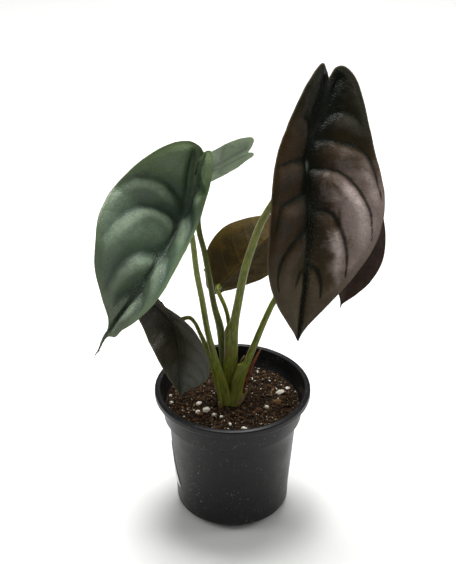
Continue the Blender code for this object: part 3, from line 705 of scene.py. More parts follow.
def rod(path, radii, sides, steps, outline=None):
    """Points and faces of a closed rod along a smooth path (metres), with values along it.

    outline(share, angle) scales the radius; share runs from 0 to 1 and angle is round +Z."""
    line = catmull(path, steps)
    width = np.interp(np.arange(len(line)) / steps, np.arange(len(radii)), radii)
    ahead = unit(np.gradient(line, axis=0))
    run = np.concatenate([[0], np.cumsum(np.linalg.norm(np.diff(line, axis=0), axis=1))])
    side = Vector((1, 0, 0))
    angle = 2 * math.pi * np.arange(sides) / sides
    points = []
    grain = []
    shares = []
    for centre, direction, radius, distance in zip(line, ahead, width, run):
        direction = Vector(direction)
        side = (side - direction * side.dot(direction)).normalized()
        other = direction.cross(side)
        share = distance / run[-1]
        scale = radius * (outline(share, angle) if outline else np.ones(sides))
        offset = np.outer(np.cos(angle) * scale, side) + np.outer(np.sin(angle) * scale, other)
        points.append(centre + offset)
        ring = np.stack([np.cos(angle) * radius, np.sin(angle) * radius, np.full(sides, distance * 0.12)], -1)
        grain.append(ring)
        shares.append(np.full(sides, share))
    count = len(line)
    faces = [tuple(range(sides)), tuple(range((count - 1) * sides, count * sides))]
    for k in range(count - 1):
        for i in range(sides):
            j = (i + 1) % sides
            a = k * sides
            faces.append((a + i, a + j, a + sides + j, a + sides + i))
    return np.vstack(points), faces, np.vstack(grain), np.concatenate(shares)


def sheath_outline(spec):
    """The sheath's free edge standing out on one side, over a slightly flattened base."""
    sheath = spec["sheath"]
    facing = math.radians(spec["edge_to"])

    def outline(share, angle):
        away = np.angle(np.exp(1j * (angle - facing)))
        low, high = spec["wing"]
        height = low + (high - low) * min(share / sheath, 1)
        height *= smooth_step(share, sheath * 1.05, sheath * 0.94)
        edge = height * np.exp(-((away / 0.50) ** 2))
        flat = spec["flare"] * smooth_step(share, sheath, 0) * np.cos(angle) ** 2
        groove = 0.08 * np.exp(-(((away - math.pi / 2) / 0.35) ** 2))
        flute = 0.02 * np.cos(9 * angle)
        return 1 + edge + flat - groove + flute

    return outline


def sheath_edge(spec, shares, grain):
    """How near each point of a petiole is to the thin edge of its sheath, from 0 to 1."""
    angle = np.arctan2(grain[:, 1], grain[:, 0])
    away = np.angle(np.exp(1j * (angle - math.radians(spec["edge_to"]))))
    return np.exp(-((away / 0.30) ** 2)) * smooth_step(shares, spec["sheath"] * 1.05, spec["sheath"] * 0.90)


def make_petiole(name, spec, blade, material):
    joint, _, _, out = blade.frame(np.array([0.0]))
    joint = joint[0]
    out = out[0]
    sunk = (QUILT_SINK * blade.spec["quilting"] + 1.2) * MM
    path = [np.array(p) * MM for p in spec["path"]]
    root = path[0] - (path[1] - path[0]) * 0.3
    path = [root] + path + [joint - out * 8 * MM, joint - out * (sunk + 1.0 * MM), joint - out * sunk]
    radii = [spec["radii"][0]] + list(spec["radii"]) + [PETIOLE_TIP_RADIUS, 1.9, 2.5]
    radii = [r * MM for r in radii]
    points, faces, grain, shares = rod(path, radii, PETIOLE_SIDES, PETIOLE_STEPS, sheath_outline(spec))
    low = np.clip((points[:, 2] - SOIL_LEVEL) / (60 * MM), 0, 1)
    values = {"low": low, "edge": sheath_edge(spec, shares, grain)}
    piece(name + "_stalk", points, faces, material, (name,), values, {"grain": grain})


def pot_body_radius(height):
    """Outer radius of the tapered pot body at this height."""
    top = POT_HEIGHT - COLLAR_HEIGHT
    share = (height - BODY_LOW_HEIGHT) / (top - BODY_LOW_HEIGHT)
    return BODY_LOW_RADIUS + share * (BODY_TOP_RADIUS - BODY_LOW_RADIUS)


def arc(centre_r, centre_z, radius, start, end, count=6):
    """Profile points in metres round a corner, from millimetres and degrees."""
    turns = np.radians(np.linspace(start, end, count))
    return [((centre_r + radius * math.cos(t)) * MM, (centre_z + radius * math.sin(t)) * MM) for t in turns]


def pot_profile():
    ledge = POT_HEIGHT - COLLAR_HEIGHT
    rim = RIM_RADIUS / MM
    top = POT_HEIGHT / MM
    outside = [(0, 0), (BOSS_RADIUS - 0.5 * MM, 0), (BOSS_RADIUS, 0.3 * MM)]
    outside += [(BOSS_RADIUS + 0.6 * MM, FOOT_HEIGHT), (FOOT_INNER, FOOT_HEIGHT)]
    outside += [(FOOT_INNER + 0.5 * MM, 0.3 * MM), (FOOT_INNER + 0.9 * MM, 0)]
    outside += [(FOOT_OUTER - 0.9 * MM, 0), (FOOT_OUTER - 0.4 * MM, 0.3 * MM)]
    outside += [(FOOT_OUTER, FOOT_HEIGHT - 0.4 * MM)]
    outside += arc(38.9, 8.2, 5.0, -88, -8, 9)
    outside += [(44.0 * MM, 12.5 * MM), (BODY_LOW_RADIUS, BODY_LOW_HEIGHT)]
    for share in (0.2, 0.4, 0.6, 0.8):
        height = BODY_LOW_HEIGHT + share * (ledge - BODY_LOW_HEIGHT)
        outside.append((pot_body_radius(height), height))
    outside += [(BODY_TOP_RADIUS, ledge - 1.6 * MM), (BODY_TOP_RADIUS + 0.3 * MM, ledge - 0.9 * MM)]
    outside += arc(COLLAR_RADIUS / MM - 1.0, ledge / MM + 0.1, 1.0, -90, 0, 6)
    outside += [(COLLAR_TOP_RADIUS - 0.5 * MM, POT_HEIGHT - 14 * MM)]
    outside += [(COLLAR_TOP_RADIUS, POT_HEIGHT - 7.4 * MM)]
    outside += arc(rim - 4.2, top - 7.2, 1.0, 180, 90, 5)
    outside += arc(rim - 1.3, top - 4.9, 1.3, -90, 0, 6)
    outside += arc(rim - 1.3, top - 1.7, 1.3, 0, 70, 6)
    outside += [(rim * MM - 2.2 * MM, POT_HEIGHT - 0.2 * MM)]
    inside = arc(rim - 3.4, top - 1.2, 1.2, 90, 180, 6)
    inside += [((rim - 5.0) * MM, (top - 3.0) * MM)]
    inside += [
        (COLLAR_TOP_RADIUS - WALL, POT_HEIGHT - 6.8 * MM),
        (COLLAR_RADIUS - WALL, ledge + 1.2 * MM),
        (BODY_TOP_RADIUS - WALL, ledge + 0.6 * MM),
        (BODY_LOW_RADIUS - WALL, BODY_LOW_HEIGHT),
        (42.6 * MM, 12.8 * MM),
        (41.0 * MM, 7.6 * MM),
        (38.6 * MM, FLOOR_TOP),
        (0, FLOOR_TOP),
    ]
    return outside + inside


def lathe(profile, segments, shape=None):
    """Points and faces of a profile turned about Z; shape(radius, height, angle) may move a point."""
    points = []
    rings = []
    for radius, height in profile:
        if radius == 0:
            rings.append([len(points)] * segments)
            points.append((0, 0, height))
            continue
        rings.append([len(points) + i for i in range(segments)])
        for i in range(segments):
            angle = 2 * math.pi * i / segments
            r, z = shape(radius, height, angle) if shape else (radius, height)
            points.append((r * math.cos(angle), r * math.sin(angle), z))
    faces = []
    for low, high in zip(rings[:-1], rings[1:]):
        for i in range(segments):
            j = (i + 1) % segments
            face = list(dict.fromkeys([low[i], low[j], high[j], high[i]]))
            if len(face) > 2:
                faces.append(face)
    return points, faces


def foot_shape(radius, height, angle):
    """Lifts the standing ring between the feet."""
    if not FOOT_INNER < radius < FOOT_OUTER + 0.1 * MM or height > FOOT_HEIGHT - 0.3 * MM:
        return radius, height
    pitch = 2 * math.pi / FOOT_COUNT
    middle = (angle - FOOT_TURN) % pitch - pitch / 2
    lifted = smooth_step(FOOT_GAP / 2 - abs(middle), -0.02, 0.02)
    return radius, float(height + lifted * (FOOT_HEIGHT - 0.5 * MM - height))


def make_pot(material):
    points, faces = lathe(pot_profile(), POT_SEGMENTS, foot_shape)
    pot = piece("nursery_pot", points, faces, material, ("pot",))
    pin_sides = 32
    pins = []
    for i in range(DRAIN_COUNT):
        turn = FOOT_TURN + i * 2 * math.pi / DRAIN_COUNT
        centre = Vector((DRAIN_RING * math.cos(turn), DRAIN_RING * math.sin(turn), 0))
        pins.append(drain_pin(f"drain_pin_{i}", centre, pin_sides))
    for pin in pins:
        hole = pot.modifiers.new(pin.name, "BOOLEAN")
        hole.operation = "DIFFERENCE"
        hole.solver = "EXACT"
        hole.object = pin
    settle(pot)
    for pin in pins:
        bpy.data.objects.remove(pin, do_unlink=True)


def drain_pin(name, centre, sides):
    built = bmesh.new()
    bmesh.ops.create_cone(
        built, cap_ends=True, segments=sides, radius1=DRAIN_RADIUS, radius2=DRAIN_RADIUS, depth=FLOOR_TOP * 2
    )
    middle = centre + Vector((0, 0, FLOOR_TOP / 2 + FOOT_HEIGHT / 2))
    bmesh.ops.translate(built, verts=built.verts, vec=middle)
    mesh = bpy.data.meshes.new(name)
    built.to_mesh(mesh)
    built.free()
    obj = bpy.data.objects.new(name, mesh)
    bpy.context.scene.collection.objects.link(obj)
    return obj


def settle(obj):
    """Applies a piece's modifiers to its mesh."""
    graph = bpy.context.evaluated_depsgraph_get()
    mesh = bpy.data.meshes.new_from_object(obj.evaluated_get(graph))
    obj.modifiers.clear()
    obj.data = mesh


def make_label(material):
    """A thin paper sheet on the pot body, its front edge slanted and faintly wavy."""
    columns = 40
    rows = 24
    layers = []
    for lift in (0.25 * MM, 0.25 * MM + LABEL_THICKNESS):
        layer = []
        for j in range(rows + 1):
            share = j / rows
            height = LABEL_BOTTOM + share * (LABEL_TOP - LABEL_BOTTOM)
            front = LABEL_FRONT_LOW + share * (LABEL_FRONT_TOP - LABEL_FRONT_LOW)
            for i in range(columns + 1):
                angle = LABEL_BACK_EDGE + (front - LABEL_BACK_EDGE) * i / columns
                ripple = 0.12 * MM * (1 + noise.noise(Vector((angle * 14, height / (9 * MM), 0))))
                radius = pot_body_radius(height) + lift + ripple
                layer.append((radius * math.cos(angle), radius * math.sin(angle), height))
        layers.append(layer)
    faces = sheet_faces(columns, rows)
    piece("blank_sticker", layers[0] + layers[1], faces, material, ("pot_label",))


def soil_height(x, y):
    """The rough top of the potting mix."""
    radius = math.hypot(x, y)
    from_corm = math.hypot(x - CORM_X, y - CORM_Y)
    level = SOIL_LEVEL + SOIL_MOUND * math.exp(-((from_corm / SOIL_MOUND_RADIUS) ** 2))
    place = Vector((x, y, 0))
    calm = 1 - 0.6 * float(smooth_step(radius, 44 * MM, 52 * MM))
    rough = SOIL_ROUGH * noise.fractal(place / (13 * MM), 1.0, 2.0, 3)
    grain = SOIL_GRAIN * noise.fractal(place / (3.2 * MM) + Vector((7, 3, 0)), 0.7, 2.0, 4)
    return level + calm * (0.8 * rough + grain)


def make_soil(material):
    ledge = POT_HEIGHT - COLLAR_HEIGHT
    clear = WALL + 0.1 * MM
    segments = 220
    profile = [
        (0, FLOOR_TOP + 0.2 * MM),
        (37.8 * MM, FLOOR_TOP + 0.2 * MM),
        (40.2 * MM, 8.0 * MM),
        (BODY_LOW_RADIUS - clear - 0.4 * MM, 13 * MM),
        (BODY_LOW_RADIUS - clear, BODY_LOW_HEIGHT),
        (BODY_TOP_RADIUS - clear, ledge + 1.0 * MM),
        (COLLAR_RADIUS - clear, ledge + 1.6 * MM),
        (COLLAR_RADIUS - clear + 0.35 * MM, SOIL_LEVEL - 1.5 * MM),
    ]
    rings = 60
    points, faces = lathe(profile, segments)
    edge = 52.3 * MM
    start = len(points)
    for k in range(rings):
        radius = edge * (1 - k / rings)
        for i in range(segments):
            angle = 2 * math.pi * i / segments
            x = radius * math.cos(angle)
            y = radius * math.sin(angle)
            points.append((x, y, soil_height(x, y)))
    points.append((0, 0, soil_height(0, 0)))
    last = len(points) - 1
    bottom = start - segments
    for k in range(rings):
        for i in range(segments):
            j = (i + 1) % segments
            low = bottom + k * segments
            faces.append((low + i, low + j, low + segments + j, low + segments + i))
    final = start + (rings - 1) * segments
    for i in range(segments):
        faces.append((final + i, final + (i + 1) % segments, last))
    piece("soil_bed", points, faces, material, ("potting_mix",))


class Heap:
    """Many small closed lumps gathered into one piece."""

    def __init__(self):
        self.points = []
        self.faces = []
        self.tones = []

    def add(self, points, faces, tone):
        start = len(self.points)
        self.points += [tuple(p) for p in points]
        self.faces += [tuple(start + i for i in face) for face in faces]
        self.tones += [tone] * len(points)

    def build(self, name, material, replaced=()):
        piece(name, self.points, self.faces, material, replaced, {"tone": self.tones})


def ball(detail):
    built = bmesh.new()
    bmesh.ops.create_icosphere(built, subdivisions=detail, radius=1.0)
    points = [v.co.copy() for v in built.verts]
    faces = [tuple(v.index for v in face.verts) for face in built.faces]
    built.free()
    return points, faces


def lump(ball_points, seed, half, turn, tilt, rough=0.3, size=1.4):
    """A rough stone shape with these half sizes, turned about Z and tipped."""
    shift = Vector((seed * 7.3, seed * 3.9, 0))
    made = []
    for co in ball_points:
        swell = 1 + rough * noise.fractal(co * size + shift, 1.0, 2.0, 3)
        x = co.x * half[0] * swell
        y = co.y * half[1] * swell
        z = co.z * half[2] * swell
        y, z = y * math.cos(tilt) - z * math.sin(tilt), y * math.sin(tilt) + z * math.cos(tilt)
        made.append((x * math.cos(turn) - y * math.sin(turn), x * math.sin(turn) + y * math.cos(turn), z))
    return made


def make_listed_chips(specs, label, detail, material, seed, rough):
    """The frame's own loose pieces, each replaced by a rougher one."""
    ball_points, ball_faces = ball(detail)
    for i, (x, y, along, across, up, turn) in enumerate(specs):
        half = (along * MM, across * MM, up * MM)
        shape = lump(ball_points, seed + i, half, math.radians(turn), 0.15, rough)
        rest = soil_height(x * MM, y * MM) + 0.55 * up * MM
        points = [(x * MM + p[0], y * MM + p[1], rest + p[2]) for p in shape]
        node = f"perlite_{i + 1:02d}" if label == "perlite" else f"bark_chip_{i + 1}"
        heap = Heap()
        heap.add(points, ball_faces, (i * 0.37) % 1)
        heap.build(node + "_grain", material, (node,))


def scatter(chance, inner=11.5, outer=51.0):
    """A random place on the soil in millimetres, not under the corm."""
    radius = math.sqrt(chance.uniform(inner**2, outer**2))
    angle = chance.uniform(0, 2 * math.pi)
    return radius * math.cos(angle), radius * math.sin(angle)


def make_crumbs(name, count, sizes, material, seed, detail=1, rough=0.4):
    """Loose crumbs half sunk in the soil."""
    chance = random.Random(seed)
    ball_points, ball_faces = ball(detail)
    heap = Heap()
    for i in range(count):
        x, y = scatter(chance)
        size = chance.uniform(*sizes) * MM
        spreads = ((0.9, 1.5), (0.6, 1.0), (0.5, 0.8))
        half = tuple(size * chance.uniform(low, high) for low, high in spreads)
        turn = (chance.uniform(0, 6.3), chance.uniform(-0.6, 0.6))
        shape = lump(ball_points, seed + i * 0.61, half, *turn, rough)
        rest = soil_height(x * MM, y * MM) + size * chance.uniform(-0.15, 0.45)
        tone = chance.random()
        heap.add([(x * MM + p[0], y * MM + p[1], rest + p[2]) for p in shape], ball_faces, tone)
    heap.build(name, material)


def make_fibres(material):
    """Fine coir fibres lying over the soil in shallow arcs."""
    chance = random.Random(31)
    heap = Heap()
    for i in range(150):
        x, y = scatter(chance, 14, 49)
        turn = chance.uniform(0, 6.3)
        length = chance.uniform(4, 12)
        bow = chance.uniform(-0.25, 0.25)
        path = []
        for k in range(4):
            share = k / 3 - 0.5
            px = x + length * (share * math.cos(turn) - bow * (share**2) * math.sin(turn) * 2)
            py = y + length * (share * math.sin(turn) + bow * (share**2) * math.cos(turn) * 2)
            limit = 51.5 / max(51.5, math.hypot(px, py))
            px *= limit
            py *= limit
            lift = 0.5 + 0.7 * (k in (1, 2))
            path.append((px * MM, py * MM, soil_height(px * MM, py * MM) + lift * MM))
        radius = chance.uniform(0.10, 0.22) * MM
        points, faces, _, _ = rod(path, [radius * 0.7, radius, radius, radius * 0.5], 5, 4)
        heap.add(points, faces, chance.random())
    heap.build("soil_fibres", material)


def make_corm(material):
    """The short stem, ringed by old leaf scars."""
    steps = 40
    profile = [(0, CORM_BOTTOM), (5.4 * MM, CORM_BOTTOM + 0.4 * MM)]
    for k in range(steps):
        share = k / (steps - 1)
        height = CORM_BOTTOM + 4 * MM + share * (CORM_TOP - CORM_BOTTOM - 5 * MM)
        ring = 0.35 * MM * math.sin(share * 40)
        profile.append((CORM_RADIUS - 1.0 * MM + ring - 1.2 * MM * share**6, height))
    profile += [(7.2 * MM, CORM_TOP - 0.1 * MM), (0, CORM_TOP)]

    def knobs(radius, height, angle):
        place = Vector((math.cos(angle) * 2, math.sin(angle) * 2, height / (5 * MM)))
        return radius * (1 + 0.06 * noise.noise(place)), height

    points, faces = lathe(profile, 72, knobs)
    points = [(x + CORM_X, y + CORM_Y, z) for x, y, z in points]
    piece("corm_stem", points, faces, material, ("corm",))


def make_dry_stub(material):
    """A shrivelled petiole, fluted and kinked as it dried."""

    def outline(share, angle):
        flutes = 0.20 * np.cos(5 * angle + 4 * share) + 0.10 * np.cos(11 * angle - 6 * share)
        return (0.85 + flutes) * (1 - 0.25 * smooth_step(share, 0.8, 1.0))

    path = [np.array(p) * MM for p in DRY_PATH]
    points, faces, grain, _ = rod(path, [r * MM for r in DRY_RADII], 28, 12, outline)
    crumple = fractal(points, 2.5 * MM, 3, 2)
    points = points + crumple[:, None] * np.array((0.35, 0.35, 0.15)) * MM
    replaced = ("dry_petiole_stub",)
    piece("dry_petiole", points, faces, material, replaced, None, {"grain": grain})


# Thin papery scales round the base: the root on the corm and the way it leans, in mm
SCALES = (
    ((3.6, -7.6, 92), (6.6, -8.0, 98), (8.6, -6.6, 105), 7.0),
    ((-9.0, -8.6, 91), (-10.6, -10.4, 96), (-11.2, -10.8, 101), 5.5),
    ((4.6, -1.6, 121), (6.2, -1.0, 130), (9.2, -1.6, 137), 3.0),
    ((-10.0, 6.5, 92), (-13.0, 7.6, 100), (-14.0, 8.2, 108), 6.0),
    ((6.0, 6.6, 92), (8.6, 8.8, 100), (9.0, 10.0, 109), 6.0),
    ((7.2, -2.2, 92), (9.6, -2.6, 99), (12.0, -1.6, 105), 5.0),
)


def make_scale(index, spec, material):
    """A pointed curved scale hugging the stem."""
    root, middle, top, width = spec
    columns = 10
    line = catmull(np.array([root, middle, top], float) * MM, 13)
    rows = len(line)
    radial = unit(np.array([root[0], root[1], 0.0]))
    ahead = unit(np.gradient(line, axis=0))
    side = unit(np.cross(ahead, radial))
    out = np.cross(side, ahead)
    layers = []
    for lift in (0.12 * MM, -0.12 * MM):
        layer = []
        for k in range(rows):
            share = k / (rows - 1)
            half = 0.5 * width * MM * max(0.06, (1 - share) ** 0.6 * (0.75 + 0.5 * share))
            for i in range(columns + 1):
                t = 2 * i / columns - 1
                bow = -0.35 * width * MM * t * t * (1 - 0.5 * share)
                ripple = 0.25 * MM * noise.noise(Vector((t * 3, share * 5, index * 9.1)))
                layer.append(line[k] + side[k] * half * t + out[k] * (bow + ripple + lift))
        layers.append(np.array(layer))
    points = np.vstack(layers)
    grain = {"grain": points * (1, 1, 0.15)}
    piece(f"base_scale_{index + 1}", points, sheet_faces(columns, rows - 1), material, (), None, grain)


def make_drip_tip(blade, material):
    """The dried black thread that ends the longest leaf."""
    end = blade.line[-1]
    steps = ((1.6, -0.4, 2.0), (0.0, 0.0, 0.0), (-1.5, 0.3, -2.5), (-2.1, 0.3, -6.0))
    path = [end + np.array(step) * MM for step in steps]
    points, faces, grain, _ = rod(path, [0.45 * MM, 0.5 * MM, 0.32 * MM, 0.12 * MM], 12, 8)
    piece("drip_tip_thread", points, faces, material, (), None, {"grain": grain})


# Looks of the leaves. The codes are sRGB colours: lamina between the veins, vein along them, lobe
# on the lobes, half on the right half, as a painted sheen and reflection where that half faces the
# light, tip near the tip, margin at the margin, cloud in a clouding, painted_highlight as a painted
# highlight on the tops of the pillows, and under and under_vein on the underside.
# gloss is the roughness, and shine the specular level, of the upper side. heart is how dark it
# gets round the midrib, speck how pale the specks along it are, right how strong the right half's
# painted sheen is, and ribs how strong the veins are below. rim is where the margin's tone starts
# and stops fading and how strong it is, and dark where the veins' tone stops and how strong it is,
# in mm from the edge or the vein; that tone is the veins' own dark colour and, out to where it
# stops, painted shade in their furrows. highlight_share is how strong the painted highlight on the
# pillows is, and how much stronger on the right half. dead is where the tip turns black, along the
# blade. from_side and from_here are where the right half's painted sheen sets in, across and along
# the blade, all three in blade lengths.
COMMON_LOOK = dict(from_side=(0.015, 0.10), from_here=(-0.16, 0.02), coat=0.0)
LEAF_COLOURS = {
    "grey_green": dict(
        lamina="4d5f4a", vein="22332a", lobe="546740", half="4c604a", tip="4c5444", margin="5f6e46",
        cloud="3e4e3e", painted_highlight="9aab90", under="56643e", under_vein="7d8a5c", heart=0.4,
        gloss=0.46, speck=0.65, rim=(0.8, 7.0, 0.38), dark=(6.5, 0.40), right=0.5, ribs=0.7,
        highlight_share=(0.36, 0.0), dead=(0.655, 0.680), shine=0.40,
        coat=0.06,
    ),
    "silver_green": dict(
        lamina="404a37", vein="343d2f", lobe="49543e", half="3c4636", tip="3a4233", margin="566246",
        cloud="3b4437", painted_highlight="57634e", under="525c3c", under_vein="727e50", heart=0.5,
        gloss=0.50, speck=0.15, rim=(0.6, 4.0, 0.4), dark=(4.5, 0.6), right=0.3, ribs=0.7,
        highlight_share=(0.4, 0.0), dead=(2.0, 3.0), shine=0.35,
        coat=0.04,
    ),
    "copper": dict(
        lamina="2f200a", vein="050903", lobe="0e1104", half="8a7a74", tip="4b4232", margin="5c5240",
        cloud="171405", painted_highlight="b4a6a0", under="34201a", under_vein="4c342a", heart=0.95,
        gloss=0.36, speck=0.12, rim=(0.2, 1.5, 0.7), dark=(4.4, 0.88), right=0.7, ribs=0.5,
        highlight_share=(0.04, 0.60), dead=(0.640, 0.655), shine=0.10,
        from_side=(0.05, 0.16), from_here=(-0.10, 0.18),
    ),
    "olive": dict(
        lamina="2a2614", vein="1a190e", lobe="232017", half="3a3b33", tip="42443b", margin="4a472c",
        cloud="211d12", painted_highlight="403f32", under="413109", under_vein="52471a", heart=0.5,
        gloss=0.46, speck=0.0, rim=(0.2, 2.0, 0.5), dark=(4.0, 0.45), right=0.6, ribs=0.3,
        highlight_share=(0.2, 0.3), dead=(2.0, 3.0), shine=0.22,
    ),
    "maroon": dict(
        lamina="382a24", vein="12100a", lobe="2c2218", half="4a3c38", tip="342a22", margin="4a3c2c",
        cloud="241c14", painted_highlight="6c5c56", under="2a1a14", under_vein="3a271e", heart=0.5,
        gloss=0.45, speck=0.0, rim=(0.2, 1.6, 0.5), dark=(4.5, 0.8), right=0.4, ribs=0.3,
        highlight_share=(0.4, 0.0), dead=(0.635, 0.655), shine=0.10,
    ),
}


def leaf_material(name, tones):
    """Quilted leaf skin: dark veins with painted shade along their furrows, painted highlights on the
    pillows, a painted sheen on the right half, a light margin, and its own underside.
    """
    colour = {key: srgb(code) for key, code in tones.items() if isinstance(code, str)}
    shader = Shader(name, Coat_Weight=tones["coat"], Coat_Roughness=0.30)
    vein = shader.value("vein")
    lateral = shader.value("lateral")
    strong = shader.value("strong")
    margin = shader.value("margin")
    forward = shader.value("forward")
    across = shader.value("across")
    upper = shader.fade(shader.value("upper"), 0.45, 0.55)
    broad = shader.noise(16 * MM, 3, 0.6, warp=0.4)
    medium = shader.noise(4 * MM, 4, 0.6)
    fine = shader.noise(0.7 * MM, 2, 0.6)
    network = shader.cells(2.4 * MM)

    uneven = shader.times(shader.math("SUBTRACT", broad, 0.5), 0.25)
    along = shader.plus(forward, uneven)
    aside = shader.plus(across, uneven)
    skin = shader.mix(shader.fade(broad, 0.40, 0.66, 0.0, 0.7), colour["lamina"], colour["cloud"])
    # Painted sheen and reflection on the right half, where that half faces the light
    half = shader.times(shader.fade(aside, *tones["from_side"]), shader.fade(along, *tones["from_here"]))
    skin = shader.mix(shader.times(half, tones["right"]), skin, colour["half"])
    skin = shader.mix(shader.fade(along, -0.04, -0.20, 0.0, 0.8), skin, colour["lobe"])
    skin = shader.mix(shader.fade(along, 0.26, 0.50, 0.0, 0.7), skin, colour["tip"])
    # Painted highlight on the tops of the pillows, strongest on the crest just in front of each vein and
    # stronger on the right half
    pillow = shader.fade(shader.value("pillow"), 0.35, 0.85)
    pillow = shader.times(pillow, shader.fade(medium, 0.25, 0.60, 0.55, 1.0))
    plain, extra = tones["highlight_share"]
    share = shader.plus(plain, shader.times(half, extra))
    share = shader.times(share, shader.fade(shader.value("highlight_crest"), 0.0, 0.7, 0.3, 1.4))
    skin = shader.mix(shader.times(pillow, share), skin, colour["painted_highlight"])
    # Dark band along the veins: their own dark colour, and out to the reach painted shade in the furrows
    # beside them
    reach, strength = tones["dark"]
    wavy = shader.plus(vein, shader.times(medium, 2.0))
    skin = shader.mix(shader.fade(wavy, 1.4, reach, strength, 0.0), skin, colour["vein"])
    heart = shader.fade(strong, 2.0, 17.0, tones["heart"], 0.0)
    heart = shader.times(heart, shader.fade(along, 0.45, 0.15))
    skin = shader.mix(shader.times(heart, strength), skin, colour["vein"])
    skin = shader.mix(shader.fade(network, 0.0, 0.09, 0.20, 0.0), skin, colour["vein"])
    near_rib = shader.times(shader.fade(strong, 1.0, 13.0, 1.0, 0.0), shader.fade(along, 0.0, 0.3))
    specks = shader.times(shader.fade(fine, 0.55, 0.66), near_rib)
    skin = shader.mix(shader.times(specks, tones["speck"]), skin, srgb("a9b4a2"))
    hub = shader.fade(shader.value("hub"), 0.3, 1.9, 1.0, 0.0)
    skin = shader.mix(shader.times(hub, tones["speck"]), skin, srgb("b4c0ae"))
    start, stop, strength = tones["rim"]
    ragged = shader.plus(margin, shader.times(medium, 0.4 * start))
    skin = shader.mix(shader.fade(ragged, start, stop, strength, 0.0), skin, colour["margin"])

    withered = shader.fade(forward, *tones["dead"])
    skin = shader.mix(withered, skin, srgb("17140f"))

    ribs = shader.fade(shader.plus(strong, shader.times(medium, 0.5)), 0.7, 2.0, 1.0, 0.0)
    side_ribs = shader.fade(lateral, 0.2, 1.1, 0.6, 0.0)
    below = shader.mix(shader.fade(broad, 0.35, 0.65, 0.0, 0.6), colour["under"], colour["cloud"])
    below = shader.mix(shader.fade(margin, 1.0, 9.0, 0.35, 0.0), below, colour["under_vein"])
    below = shader.mix(shader.fade(network, 0.0, 0.10, 0.20, 0.0), below, colour["under_vein"])
    lines = shader.times(shader.math("MAXIMUM", ribs, side_ribs), tones["ribs"])
    below = shader.mix(lines, below, colour["under_vein"])
    below = shader.mix(withered, below, srgb("17140f"))
    shader.set("Base Color", shader.mix(upper, below, skin))
    shader.set("Specular IOR Level", shader.fade(upper, 0.0, 1.0, 0.12, tones["shine"]))

    rough = shader.plus(shader.fade(medium, 0.3, 0.7, -0.07, 0.10), tones["gloss"])
    shader.set("Roughness", shader.plus(rough, shader.fade(upper, 0.0, 1.0, 0.12, 0.0)))
    cells = shader.bump(shader.fade(network, 0.0, 0.16), 0.16 * MM, strength=0.6)
    grain = shader.bump(fine, 0.10 * MM, cells, 0.6)
    shader.set("Normal", shader.bump(medium, 0.6 * MM, grain, 0.5))
    return shader.material


def petiole_material(name, tones):
    """Fibrous green stalk, paler and browner low down, with fine lengthwise streaks."""
    shader = Shader(name, Coat_Weight=0.04, Specular_IOR_Level=0.3, Subsurface_Weight=0.06)
    shader.surface.inputs["Subsurface Radius"].default_value = (1.6 * MM, 1.8 * MM, 0.7 * MM)
    shader.surface.inputs["Subsurface Scale"].default_value = 1.0
    grain = shader.value("grain", "Vector")
    low = shader.value("low")
    streak = shader.noise(0.7 * MM, 3, 0.6, grain)
    bands = shader.noise(3.0 * MM, 3, 0.6, grain)
    patches = shader.noise(9 * MM, 3, 0.5)
    skin = shader.mix(shader.fade(streak, 0.38, 0.62), srgb(tones["dark"]), srgb(tones["light"]))
    skin = shader.mix(shader.fade(patches, 0.5, 0.7, 0.0, 0.5), skin, srgb(tones["brown"]))
    base = shader.fade(bands, 0.35, 0.65, 0.35, 1.0)
    base = shader.times(shader.fade(low, 0.0, 0.75, 1.0, 0.0), base)
    skin = shader.mix(base, skin, srgb(tones["base"]))
    edge = shader.fade(shader.value("edge"), 0.35, 0.95, 0.0, 0.85)
    skin = shader.mix(edge, skin, srgb(tones["brown"]))
    shader.set("Base Color", skin)
    shader.set("Roughness", shader.fade(bands, 0.3, 0.7, 0.36, 0.52))
    fibres = shader.bump(streak, 0.12 * MM, strength=0.7)
    shader.set("Normal", shader.bump(bands, 0.3 * MM, fibres, 0.5))
    return shader.material


def pot_material():
    """Black moulded plastic with faint turning lines, scuffs and a little dust."""
    shader = Shader("pot_black_plastic", Specular_IOR_Level=0.26)
    broad = shader.noise(22 * MM, 4, 0.6)
    fine = shader.noise(0.8 * MM, 3, 0.6)
    dots = shader.noise(1.6 * MM, 1, 0.4)
    split = shader.tree.nodes.new("ShaderNodeSeparateXYZ")
    shader.feed(split.inputs[0], shader.place)
    height = split.outputs["Z"]
    merged = shader.tree.nodes.new("ShaderNodeCombineXYZ")
    shader.feed(merged.inputs["X"], shader.times(split.outputs["X"], 0.06))
    shader.feed(merged.inputs["Y"], shader.times(split.outputs["Y"], 0.06))
    shader.feed(merged.inputs["Z"], height)
    turning = shader.noise(0.9 * MM, 3, 0.6, merged.outputs["Vector"])
    black = shader.mix(shader.fade(broad, 0.35, 0.7), srgb("060708"), srgb("0c0d0e"))
    dust = shader.times(shader.fade(dots, 0.66, 0.74), shader.fade(broad, 0.35, 0.75))
    haze = shader.fade(shader.noise(6 * MM, 5, 0.65), 0.50, 0.80, 0.0, 0.10)
    black = shader.mix(haze, black, srgb("4a4844"))
    black = shader.mix(shader.times(dust, 0.5), black, srgb("85827c"))
    shader.set("Base Color", black)
    scuffs = shader.fade(fine, 0.3, 0.7, -0.03, 0.06)
    shader.set("Roughness", shader.plus(shader.fade(broad, 0.3, 0.7, 0.34, 0.46), scuffs))
    lines = shader.bump(turning, 0.05 * MM, strength=0.5)
    shader.set("Normal", shader.bump(fine, 0.05 * MM, lines, 0.5))
    return shader.material


